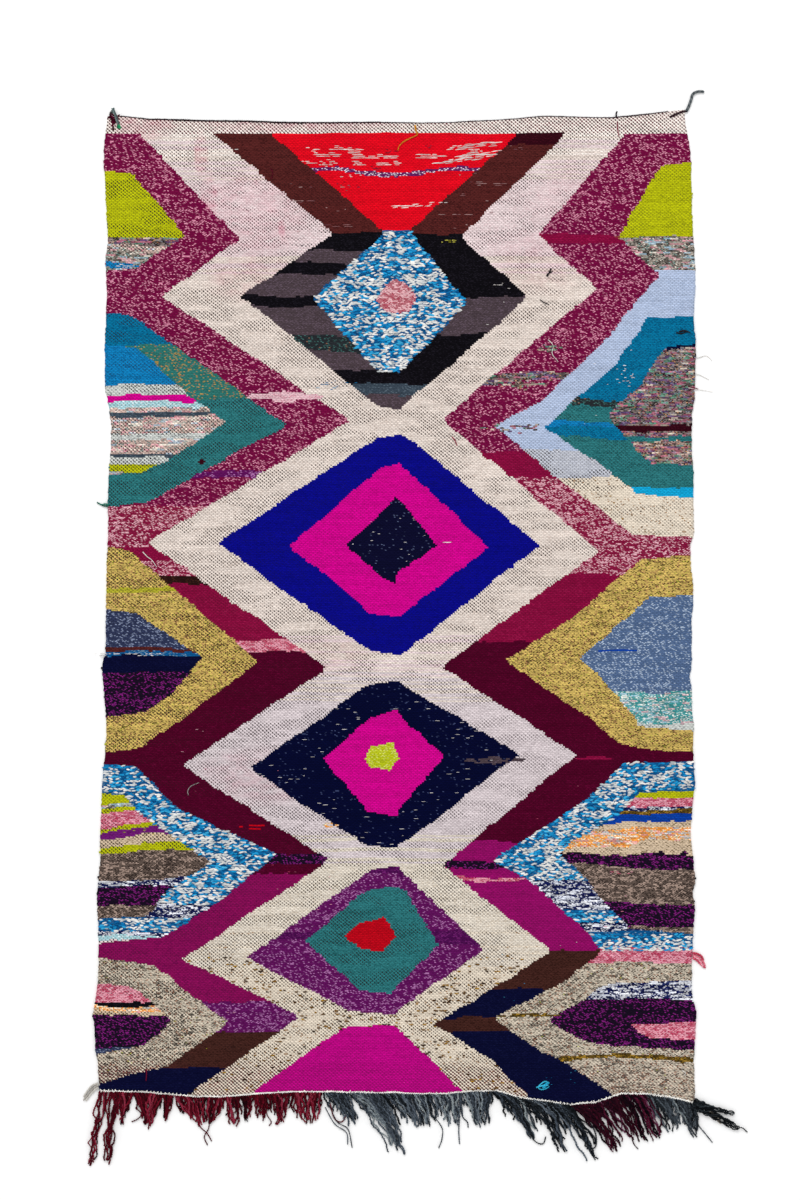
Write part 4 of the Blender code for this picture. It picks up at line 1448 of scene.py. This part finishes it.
# Loose threads: ends of yarn that have worked up through the cloth or hang off its
# selvedges, tucked in at one end and free at the other, and knots in the selvedge loops.
THREAD_DYES = {
    "yellow": ("8a3a10", "c07a20", "dba83c"),
    "white": ("b0aaa6", "d6d2cc", "ece9e4"),
    "dark": ("0a080c", "19161b", "322c34"),
    "wine": ("3c0618", "6e0f2c", "a2304e"),
    "grey": ("75706f", "959091", "b6b2b0"),
    "lime": ("83860c", "a9ad14", "c6ca38"),
    "turquoise": ("0888ae", "15a4cc", "54c6e2"),
    "teal": ("144e4c", "22706c", "3a9088"),
}
THREADS = (
    ("yellow", 0.0013, ((-0.0061, 1.2434), (0.0000, 1.2311), (-0.0159, 1.2226),
                        (-0.0331, 1.2140), (-0.0453, 1.2017), (-0.0478, 1.1919))),
    ("yellow", 0.0015, ((-0.0061, 1.2532), (-0.0037, 1.2409), (-0.0012, 1.2336))),
    ("white", 0.0008, ((0.3197, 0.7289), (0.3320, 0.7142), (0.3295, 0.6946), (0.3442, 0.6750))),
    ("dark", 0.0012, ((0.3271, 0.9028), (0.3222, 0.8930), (0.3173, 0.8832))),
    ("dark", 0.0010, ((0.3295, 0.8955), (0.3197, 0.8906), (0.3148, 0.8857))),
    ("dark", 0.0008, ((0.3001, 0.8269), (0.3099, 0.8195), (0.3222, 0.8146))),
    ("wine", 0.0009, ((0.0845, 0.4912), (0.0919, 0.4814), (0.0968, 0.4692))),
    ("white", 0.0008, ((-0.6725, 0.2095), (-0.6603, 0.1972), (-0.6505, 0.1899), (-0.6382, 0.1727))),
    ("grey", 0.0007, ((-0.5606, -0.3860), (-0.5625, -0.3760), (-0.5550, -0.3640), (-0.5350, -0.3550))),
    ("wine", 0.0008, ((-0.3589, 1.1478), (-0.3540, 1.1356), (-0.3589, 1.1209))),
    ("wine", 0.0009, ((0.4888, 1.2630), (0.4900, 1.2434), (0.4937, 1.2238))),
    ("white", 0.0007, ((0.6627, 0.6897), (0.6848, 0.6848), (0.7068, 0.6897), (0.7215, 0.6774))),
    ("white", 0.0007, ((0.6627, 0.6505), (0.6897, 0.6431), (0.7142, 0.6309))),
    ("white", 0.0007, ((0.6627, 0.6113), (0.6921, 0.6064), (0.7240, 0.6015))),
    ("wine", 0.0009, ((0.6627, 0.6137), (0.6774, 0.6113), (0.6872, 0.6088))),
    ("dark", 0.0013, ((0.4863, 1.2740), (0.4863, 1.2830), (0.4888, 1.2890))),
    ("dark", 0.0014, ((0.6407, 0.7485), (0.6529, 0.7509), (0.6676, 0.7460))),
    ("dark", 0.0012, ((0.6333, 0.7460), (0.6456, 0.7436), (0.6578, 0.7485))),
    ("turquoise", 0.0012, ((0.3222, -1.0910), (0.3124, -1.0861), (0.3002, -1.0935), (0.2953, -1.1010),
                           (0.3026, -1.1060), (0.3148, -1.1035), (0.3222, -1.0984))),
    ("turquoise", 0.0014, ((0.3197, -1.0950), (0.3051, -1.0965), (0.2908, -1.1010))),
    ("turquoise", 0.0015, ((0.3210, -1.0890), (0.3130, -1.0930), (0.3060, -1.1010), (0.3150, -1.0990))),
    ("wine", 0.0010, ((-0.6640, -1.0560), (-0.6630, -1.0700), (-0.6645, -1.0850))),
    ("white", 0.0008, ((0.6480, -1.0600), (0.6560, -1.0660), (0.6520, -1.0720))),
)
KNOTS = (
    ("dark", -0.7718, -0.0747, 0.0026), ("dark", -0.7680, -0.1458, 0.0018),
    ("lime", -0.7669, -0.2609, 0.0026), ("lime", -0.7755, -0.5255, 0.0030),
    ("dark", -0.7790, -0.5868, 0.0026), ("dark", -0.7900, -0.6701, 0.0018),
    ("dark", -0.7850, -0.7240, 0.0016), ("dark", -0.7950, -0.9273, 0.0024),
    ("dark", 0.6770, -0.5892, 0.0024), ("dark", 0.6810, -0.6456, 0.0018),
    ("teal", -0.7600, 0.4165, 0.0018), ("wine", -0.7600, 0.3560, 0.0014),
    ("lime", -0.7640, 0.1850, 0.0016), ("lime", -0.7668, 1.0720, 0.0018),
    ("wine", -0.7640, 0.9151, 0.0018), ("lime", 0.6760, 1.0866, 0.0026),
    ("lime", 0.6740, 1.0780, 0.0020), ("white", 0.6800, 0.9480, 0.0014),
)
THREAD_SEED = 29


def resting_height(x, y):
    """How high the cloth, or beside it the floor, lies under a loose thread."""
    hit = cloth_tree.ray_cast(Vector((x, y, 1.0)), Vector((0, 0, -1)))
    return hit[0].z + relief(x, y) if hit[0] else 0.0010


random.seed(THREAD_SEED)
for dye_name, thread_codes in THREAD_DYES.items():
    loose = Skein()
    for thread_dye, ply, route in THREADS:
        if thread_dye != dye_name:
            continue
        line = eased_route([(x, y, resting_height(x, y) + ply + 0.0007) for x, y in route], 16)
        line[0, 2] -= ply * 2
        loose.twist(line, ply, 0.009, (random.random(), random.random()), 5, 0.0, 0.7)
    for knot_dye, x, y, size in KNOTS:
        if knot_dye != dye_name:
            continue
        rim, outwards = (LEFT_RIM, -0.3) if x < 0 else (RIGHT_RIM, 0.3)
        x = float(np.interp(y, rim[:, 1], rim[:, 0])) + outwards * size
        for turn in range(4):
            angle = turn * 0.8 + random.uniform(-0.2, 0.2)
            reach_x = math.cos(angle) * size * 0.9
            reach_y = math.sin(angle) * size * 0.9
            low = size * 0.62 + 0.0012
            ball = (
                (x - reach_x, y - reach_y, low),
                (x - reach_x * 0.4, y - reach_y * 0.4, low + size * 0.8),
                (x + reach_x * 0.4, y + reach_y * 0.4, low + size * 0.8),
                (x + reach_x, y + reach_y, low),
            )
            loose.tube(eased_route(ball, 8), size * 0.42, random.random(), 6)
    thread_wool = wool_finish("loose_" + dye_name, thread_codes)
    loose.piece("loose_" + dye_name + "_threads", thread_wool)


# End cords: a dark wool cord twined along the header and a white cotton cord twined over
# the warp ends along the lower edge, where its stitches bite over the last rows.
HEADER_CLEAR = 0.0010
CORD_CLEAR = 0.0018
CORD_HEIGHT = 0.0034
CORD_PLY = 0.0016
CORD_PITCH = 0.0105
STITCH_PITCH = 0.0092
STITCH_REACH = 0.0026
CORD_SEED = 31


def edge_line(along, outwards, start=0.0, end=1.0, steps=420, height=CORD_HEIGHT):
    """A line beside the header (along 0) or the lower edge (along 1) of the cloth."""
    shares = np.linspace(start, end, steps)
    x, y = cloth_place(shares, np.full(steps, float(along)))
    wander = np.array([noise.noise((value * 90.0, along * 7.0, 0.5)) for value in x])
    return np.stack([x, y + outwards + wander * 0.0006, np.full(steps, height)], axis=1)


random.seed(CORD_SEED)
header_skein = Skein()
header_parts = (
    (0.018, 0.34, 0.00150, (0.06, 0.42)),
    (0.335, 0.66, 0.00128, (0.16, 0.62)),
    (0.655, 0.972, 0.00105, (0.30, 0.90)),
)
for first, last, ply, shades in header_parts:
    header_line = edge_line(0, HEADER_CLEAR, first, last, 260, 0.0030)
    header_skein.twist(header_line, ply, 0.0085, shades, sides=5)
tie_root = (
    (0.6180, 1.2740, 0.0040),
    (0.6350, 1.2820, 0.0052),
    (0.6500, 1.2875, 0.0050),
    (0.6585, 1.2890, 0.0040),
)
for start, shade in ((0.0, 0.15), (2.1, 0.5), (4.2, 0.8)):
    header_skein.twist(eased_route(tie_root, 24), 0.0015, 0.010, (shade, shade * 0.7), 6, start, 0.9)
header_cord = header_skein.piece(
    "twined_header_cord",
    wool_finish("dark_cord_wool", ("0c0a0c", "1e171b", "33161f", "45262f", "5b5356")),
)
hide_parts("top_twining")

lower_skein = Skein()
lower_line = edge_line(1, -CORD_CLEAR, 0.002, 0.998, 800)
slack = np.array([noise.noise((value * 26.0, 3.1, 0.7)) for value in lower_line[:, 0]])
lower_line[:, 1] += slack * 0.0022
lower_skein.twist(lower_line, CORD_PLY, CORD_PITCH, (0.75, 1.0), sides=5)
stitches = int(1.46 / STITCH_PITCH)
for k in range(stitches):
    share = (k + 0.5) / stitches
    x, y = cloth_place(np.array([share]), np.array([1.0]))
    x = float(x[0]) + random.uniform(-0.001, 0.001)
    y = float(y[0])
    lean = random.uniform(-0.0015, 0.0015)
    if -0.40 < x < 0.06 and random.random() < 0.6:
        continue
    reach = STITCH_REACH * random.uniform(0.4, 1.1)
    top = cloth_top(x, y + 0.002)
    route = (
        (x - lean, y - CORD_CLEAR, CORD_HEIGHT + 0.0013),
        (x, y + 0.0005, top + 0.0012),
        (x + lean, y + reach * 0.7, top + 0.0011),
        (x + lean * 1.4, y + reach, top - 0.0006),
    )
    lower_skein.tube(eased_route(route, 5), 0.0013, random.uniform(0.5, 1.0), 5)
lower_cord = lower_skein.piece(
    "twined_lower_cord",
    wool_finish("white_cord_cotton", ("b8b2aa", "dcd8d0", "f0ede7", "f8f6f2"), 0.2),
)
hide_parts("end_twining")


# Fringe: the wool warps, cut and left long below the lower cord. They are wine red and
# slate grey two-ply yarns that cling together in locks, cross, kink and fray.
LOCKS = (
    (2, -0.799, 0.178, 0.010),
    (2, -0.760, 0.176, 0.014),
    (3, -0.724, 0.080, 0.012),
    (6, -0.660, 0.088, 0.024),
    (2, -0.616, 0.066, 0.008),
    (10, -0.528, 0.072, 0.062),
    (3, -0.446, 0.076, 0.014),
    (3, -0.419, 0.070, 0.012),
    (3, -0.382, 0.066, 0.026),
    (5, -0.334, 0.078, 0.026),
    (6, -0.268, 0.078, 0.046),
    (5, -0.158, 0.080, 0.030),
    (7, -0.050, 0.146, 0.034),
    (10, 0.006, 0.082, 0.084),
    (6, 0.086, 0.080, 0.046),
    (6, 0.158, 0.090, 0.034),
    (6, 0.276, 0.108, 0.030),
    (5, 0.356, 0.130, 0.022),
    (5, 0.424, 0.142, 0.024),
    (6, 0.486, 0.116, 0.040),
    (10, 0.566, 0.114, 0.096),
    (4, 0.630, 0.090, 0.036),
    (5, 0.678, 0.090, 0.022),
)
FRINGE_STRANDS = 120
YARNS_A_STRAND = 3
UNDER_YARNS = 3
FRINGE_START = 0.0026
FRINGE_PLY = 0.0018
FRINGE_PITCH = 0.0105
FRINGE_TANGLE = 0.0034
FRINGE_SEED = 41
FRINGE_RUNS = (
    ("wine_fringe_left", "fringe_red_left", 0, 45, "wine_fringe"),
    ("grey_fringe_middle", "fringe_grey_middle", 45, 95, "grey_fringe"),
    ("wine_fringe_right", "fringe_red_right", 95, 110, "wine_fringe"),
    ("grey_fringe_right", "fringe_grey_right", 110, 120, "grey_fringe"),
)
FRINGE_WOOLS = (
    ("150308", "2c050c", "450713", "5c0a1b", "761427", "8c3044"),
    ("090b0e", "181c20", "2a3037", "3e4650", "545d68", "6d767e", "8f989a"),
    ("09040a", "1a0612", "2e0917", "430d20", "581a36", "6c3c58"),
    ("0c0e11", "1c2024", "2d3339", "40474f", "525b63", "6a7278", "939b9c"),
)

# Loose ends that stand out of the locks: run, thickness and route, in metres.
STRAY_ENDS = (
    (0, 0.0010, (-0.541, -1.160), (-0.536, -1.192), (-0.515, -1.214), (-0.504, -1.233)),
    (0, 0.0010, (-0.508, -1.160), (-0.511, -1.200), (-0.522, -1.222), (-0.514, -1.243)),
    (0, 0.0009, (-0.690, -1.150), (-0.676, -1.166), (-0.684, -1.178), (-0.700, -1.186)),
    (0, 0.0009, (-0.372, -1.140), (-0.368, -1.168), (-0.358, -1.186), (-0.364, -1.196)),
    (1, 0.0010, (-0.226, -1.150), (-0.203, -1.190), (-0.174, -1.212), (-0.171, -1.241)),
    (1, 0.0010, (-0.214, -1.150), (-0.196, -1.186), (-0.170, -1.204), (-0.160, -1.249)),
    (0, 0.0011, (-0.214, -1.140), (-0.204, -1.176), (-0.186, -1.186), (-0.174, -1.168)),
    (1, 0.0011, (0.098, -1.140), (0.102, -1.176), (0.101, -1.210), (0.103, -1.240)),
    (1, 0.0010, (0.104, -1.140), (0.110, -1.172), (0.122, -1.186), (0.124, -1.200)),
    (1, 0.0010, (0.020, -1.150), (0.058, -1.196), (0.060, -1.226), (0.052, -1.250)),
    (1, 0.0011, (0.262, -1.170), (0.282, -1.226), (0.306, -1.240), (0.314, -1.222)),
    (1, 0.0013, (0.392, -1.150), (0.432, -1.204), (0.436, -1.246), (0.414, -1.252)),
    (1, 0.0013, (0.372, -1.150), (0.404, -1.212), (0.424, -1.262), (0.442, -1.276)),
    (2, 0.0010, (0.500, -1.150), (0.520, -1.200), (0.528, -1.236), (0.540, -1.252)),
    (3, 0.0010, (0.660, -1.150), (0.682, -1.186), (0.704, -1.214), (0.722, -1.236)),
)


def lock_tips():
    """Where each strand of the fringe ends: across, reach, width and place in its lock."""
    tips = []
    for count, across, drop, width in LOCKS:
        for k in range(count):
            part = (k + 0.5) / count - 0.5
            tips.append((across + width * part, drop, width / count, part))
    return tips


def fringe_yarn(skein, root, tip, lift, shade, ply=FRINGE_PLY, tangle=FRINGE_TANGLE):
    """One warp end, kinked and loosely plied, from its root to its cut tip."""
    span = math.hypot(tip[0] - root[0], tip[1] - root[1])
    steps = int(min(36, max(9, span / 0.0042)))
    t = np.linspace(0, 1, steps)
    x = root[0] + (tip[0] - root[0]) * t**0.8
    y = root[1] + (tip[1] - root[1]) * t
    settle = np.minimum(t / 0.18, 1.0)
    for height, waves in ((1.3, 0.8), (0.75, 2.0), (0.3, 4.6)):
        swing = tangle * height * random.uniform(0.3, 1.2)
        turns = waves * random.uniform(0.7, 1.3) * span / 0.08
        phase = random.uniform(0, 6.28)
        x = x + swing * settle * (np.sin(t * turns * 2 * math.pi + phase) - math.sin(phase) * (1 - t))
        y = y + 0.5 * swing * settle * np.sin(t * turns * 2 * math.pi + phase + 1.7)
    z = 2.0 * ply + 0.0003 + lift * np.sin(np.clip(t * 1.2, 0, 1) * math.pi)
    line = np.stack([x, y, z], axis=1)
    pitch = FRINGE_PITCH * random.uniform(0.8, 1.4)
    start = random.uniform(0, 6.28)
    skein.twist(line, ply, pitch, (shade, min(1.0, shade + 0.14)), 4, start, 0.72)


def wool_tone(number, across):
    """How light the yarns are at a place along the fringe."""
    if number == 1:
        return float(np.interp(across, (-0.20, 0.16, 0.26, 0.45), (0.46, 0.50, 0.24, 0.22)))
    return (0.5, 0.5, 0.40, 0.46)[number]


def fringe_run(number):
    """One colour run of the fringe, all its yarns in one mesh."""
    name, node, first, last, slot = FRINGE_RUNS[number]
    skein = Skein()
    tips = lock_tips()
    for strand in range(first, last):
        across, reach, width, part = tips[strand]
        tone = wool_tone(number, across)
        long_lock = reach > 0.12
        for k in range(YARNS_A_STRAND + UNDER_YARNS):
            share = (strand + (k % YARNS_A_STRAND + 0.5) / YARNS_A_STRAND) / FRINGE_STRANDS
            x, y = cloth_place(np.array([share]), np.array([1.0]))
            root = (float(x[0]) + random.uniform(-0.0012, 0.0012), float(y[0]) - FRINGE_START)
            shade = min(0.95, max(0.0, random.gauss(tone, 0.30)))
            lift = random.uniform(0.0, 0.0048)
            if k < YARNS_A_STRAND:
                aside = (k + 0.5) / YARNS_A_STRAND - 0.5
                tip_x = across + width * aside * 0.8 + random.uniform(-1.0, 1.0) * 0.0040
                length = reach * random.uniform(0.90 if reach > 0.15 else 0.72, 1.04)
                if reach <= 0.12:
                    length *= 1.0 - 0.9 * part * part
                if long_lock and reach < 0.15 and random.random() < 0.45:
                    length *= random.uniform(0.55, 0.85)
                ply = FRINGE_PLY * random.uniform(0.8, 1.25)
                fringe_yarn(skein, root, (tip_x, root[1] - length), lift, shade, ply)
            elif reach < 0.15:
                # Short under yarns near the cord, their tone cut to less than half: painted shade
                # beneath the locks.
                drop = random.uniform(0.3, 0.68) * min(reach, 0.095)
                aside = (across - root[0]) * 0.4 + random.uniform(-0.007, 0.007)
                tip = (root[0] + aside, root[1] - drop)
                fringe_yarn(skein, root, tip, lift * 0.5, shade * 0.45, FRINGE_PLY, 0.0042)
    for run, ply, *route in STRAY_ENDS:
        if run != number:
            continue
        heights = (0.0042, 0.0045, 0.0032, 0.0030)
        points = [(x, y, z) for (x, y), z in zip(route, heights)]
        shade = random.uniform(0.6, 1.0) * wool_tone(number, route[0][0])
        skein.twist(eased_route(points, 26), ply, FRINGE_PITCH, (shade, shade + 0.1), 5)
    made = skein.piece(name, wool_finish(name + "_wool", FRINGE_WOOLS[number]))
    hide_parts(node)


random.seed(FRINGE_SEED)
for run_number in range(len(FRINGE_RUNS)):
    fringe_run(run_number)


# Corner bundle: the outermost warp ends of the lower right corner, caught together in
# two thick frayed ropes that run off the corner to the right.
BUNDLE_ROPES = (
    (((0.676, -1.1350), (0.704, -1.1470), (0.740, -1.1570), (0.775, -1.1650)), 10, 0.0085, 0.0048),
    (((0.674, -1.1420), (0.704, -1.1580), (0.752, -1.1830), (0.806, -1.2120)), 16, 0.0115, 0.0068),
)
BUNDLE_TURNS = 1.3
BUNDLE_PLY = 0.0013
BUNDLE_HEIGHT = 0.0064
BUNDLE_STEPS = 34
BUNDLE_WOOL = ("08090b", "14171a", "23282c", "363e42", "4e575b", "858a88", "cdbfae")

bundle_skein = Skein()
for rope, yarns, root_spread, tip_spread in BUNDLE_ROPES:
    middle_line = eased_route([(x, y, BUNDLE_HEIGHT) for x, y in rope], BUNDLE_STEPS)
    for k in range(yarns):
        reach = int(BUNDLE_STEPS * random.choice((0.5, 0.62, 0.75, 0.88, 1.0, 1.0)))
        core = middle_line[: reach + 1]
        t = np.linspace(0, reach / BUNDLE_STEPS, reach + 1)
        spread = root_spread + (tip_spread - root_spread) * t
        spread = spread * random.uniform(0.35, 1.0)
        turn = k * 2.4 + t * BUNDLE_TURNS * 2 * math.pi + 0.5 * np.sin(t * 14 + k)
        line = core.copy()
        line[:, 0] += spread * np.sin(turn) * 0.45
        line[:, 1] += spread * np.sin(turn) * 0.9
        line[:, 2] += np.minimum(spread, 0.0026) * np.cos(turn) - 0.0014 * t
        line[:, 1] += 0.0016 * np.sin(t * 30 + k * 1.7)
        shade = random.choice((0.02, 0.08, 0.15, 0.2, 0.25, 0.3, 0.35, 0.45, 0.62))
        bundle_skein.twist(line, BUNDLE_PLY, 0.010, (shade, shade * 0.7), 5, k, 0.75)
pale_piece = (
    (0.700, -1.1520, 0.0040),
    (0.720, -1.1680, 0.0046),
    (0.734, -1.1820, 0.0044),
    (0.742, -1.1900, 0.0036),
)
for shift in (0.0, 0.0022, 0.0044):
    line = eased_route([(x + shift, y + shift * 0.5, z) for x, y, z in pale_piece], 16)
    bundle_skein.twist(line, 0.0013, 0.011, (0.98, 0.9), 5, shift * 900, 0.8)
corner_ropes = bundle_skein.piece(
    "corner_ropes", wool_finish("corner_rope_wool", BUNDLE_WOOL)
)
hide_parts("corner_bundle")


# Corner knot: the header cord's end, knotted over the upper left corner in a flat wad of
# grey, wine and green yarn with its short ends left out.
KNOT_WOOL = ("14090d", "3a0618", "5a0c2c", "2f3a38", "4c5a5a", "6f7f7e", "1d7a50", "2fa066")
KNOT_PLY = 0.0014

# Each yarn of the knot: shade, then its route as x, y and height over the cloth.
KNOT_YARNS = (
    (0.68, ((-0.7475, 1.2950, 0.0010), (-0.7450, 1.2890, 0.0040), (-0.7405, 1.2780, 0.0066),
            (-0.7370, 1.2660, 0.0060), (-0.7330, 1.2560, 0.0034), (-0.7320, 1.2520, 0.0012))),
    (0.56, ((-0.7440, 1.2960, 0.0012), (-0.7425, 1.2890, 0.0044), (-0.7380, 1.2790, 0.0068),
            (-0.7345, 1.2680, 0.0056), (-0.7310, 1.2590, 0.0030), (-0.7305, 1.2540, 0.0012))),
    (0.45, ((-0.7460, 1.2920, 0.0020), (-0.7480, 1.2860, 0.0036), (-0.7470, 1.2790, 0.0040))),
    (0.20, ((-0.7520, 1.2830, 0.0010), (-0.7470, 1.2800, 0.0046), (-0.7410, 1.2760, 0.0050),
            (-0.7340, 1.2760, 0.0034), (-0.7290, 1.2790, 0.0010))),
    (0.28, ((-0.7525, 1.2780, 0.0012), (-0.7480, 1.2740, 0.0052), (-0.7420, 1.2710, 0.0054),
            (-0.7350, 1.2700, 0.0034), (-0.7300, 1.2690, 0.0010))),
    (0.15, ((-0.7510, 1.2730, 0.0014), (-0.7470, 1.2680, 0.0052), (-0.7410, 1.2650, 0.0050),
            (-0.7350, 1.2640, 0.0020))),
    (0.24, ((-0.7500, 1.2690, 0.0016), (-0.7465, 1.2630, 0.0044), (-0.7420, 1.2600, 0.0030),
            (-0.7400, 1.2580, 0.0010))),
    (0.05, ((-0.7500, 1.2860, 0.0020), (-0.7520, 1.2800, 0.0044), (-0.7505, 1.2720, 0.0050),
            (-0.7460, 1.2640, 0.0040))),
    (0.22, ((-0.7490, 1.2760, 0.0040), (-0.7545, 1.2735, 0.0028), (-0.7585, 1.2722, 0.0012))),
    (0.26, ((-0.7455, 1.2610, 0.0020), (-0.7460, 1.2560, 0.0006), (-0.7452, 1.2500, 0.0014))),
    (0.12, ((-0.7450, 1.2500, 0.0010), (-0.7448, 1.2455, 0.0014), (-0.7450, 1.2400, 0.0002))),
    (0.90, ((-0.7330, 1.2550, 0.0020), (-0.7310, 1.2510, 0.0036), (-0.7300, 1.2460, 0.0014))),
    (1.00, ((-0.7310, 1.2540, 0.0022), (-0.7285, 1.2500, 0.0034), (-0.7275, 1.2465, 0.0012))),
    (0.84, ((-0.7345, 1.2530, 0.0018), (-0.7330, 1.2490, 0.0030), (-0.7325, 1.2460, 0.0010))),
)

knot_skein = Skein()
knot_base = cloth_top(-0.742, 1.260)
for shade, route in KNOT_YARNS:
    line = eased_route([(x, y, knot_base + z) for x, y, z in route], 18)
    knot_skein.twist(line, KNOT_PLY, 0.009, (shade, shade), 6, shade * 9, 0.85)
corner_knot = knot_skein.piece(
    "tied_corner_knot", wool_finish("corner_knot_wool", KNOT_WOOL)
)
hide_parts("corner_knot")


# Side tails: weft ends pulled out of the selvedges, a doubled pink rag on the right, a
# green yarn on the left and a soft grey end at the lower left corner.
TAIL_SEED = 53
random.seed(TAIL_SEED)


def tail(name, node, codes, routes, ply):
    """A few yarns that leave the selvedge together."""
    skein = Skein()
    for shade, route in routes:
        line = eased_route(route, 22)
        skein.twist(line, ply, 0.010, (shade, shade + 0.15), 6, random.uniform(0, 6), 0.8)
    made = skein.piece(name, wool_finish(name + "_wool", codes))
    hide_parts(node)


tail(
    "pink_rag_tail", "pink_tail",
    ("8e1c34", "b8344e", "d25a72", "e08a9c", "eab4be"),
    (
        (0.2, ((0.674, -0.772, 0.0040), (0.684, -0.774, 0.0038),
               (0.695, -0.780, 0.0030), (0.700, -0.790, 0.0034))),
        (0.5, ((0.674, -0.778, 0.0045), (0.686, -0.782, 0.0042),
               (0.698, -0.792, 0.0030), (0.704, -0.804, 0.0034))),
        (0.35, ((0.674, -0.784, 0.0040), (0.684, -0.790, 0.0034),
                (0.694, -0.800, 0.0026), (0.705, -0.809, 0.0034))),
        (0.75, ((0.676, -0.780, 0.0062), (0.687, -0.786, 0.0056),
                (0.693, -0.794, 0.0042), (0.699, -0.806, 0.0036))),
    ),
    0.0017,
)
tail(
    "green_yarn_tail", "green_tail",
    ("0c3a30", "13594a", "1b7562", "2f9480"),
    (
        (0.2, ((-0.756, 0.322, 0.0040), (-0.766, 0.322, 0.0034),
               (-0.776, 0.326, 0.0024), (-0.785, 0.331, 0.0030))),
        (0.6, ((-0.756, 0.325, 0.0044), (-0.765, 0.327, 0.0038),
               (-0.773, 0.325, 0.0026), (-0.780, 0.328, 0.0030))),
    ),
    0.0012,
)
tail(
    "grey_yarn_tail", "grey_tail",
    ("8b8781", "a9a49d", "c4c0b9", "d9d6cf"),
    (
        (0.3, ((-0.782, -1.096, 0.0036), (-0.794, -1.104, 0.0032),
               (-0.806, -1.118, 0.0026), (-0.818, -1.133, 0.0034))),
        (0.7, ((-0.782, -1.101, 0.0040), (-0.793, -1.110, 0.0036),
               (-0.803, -1.122, 0.0028), (-0.812, -1.134, 0.0034))),
        (0.5, ((-0.783, -1.092, 0.0034), (-0.797, -1.098, 0.0030),
               (-0.809, -1.112, 0.0024), (-0.817, -1.124, 0.0034))),
    ),
    0.0016,
)
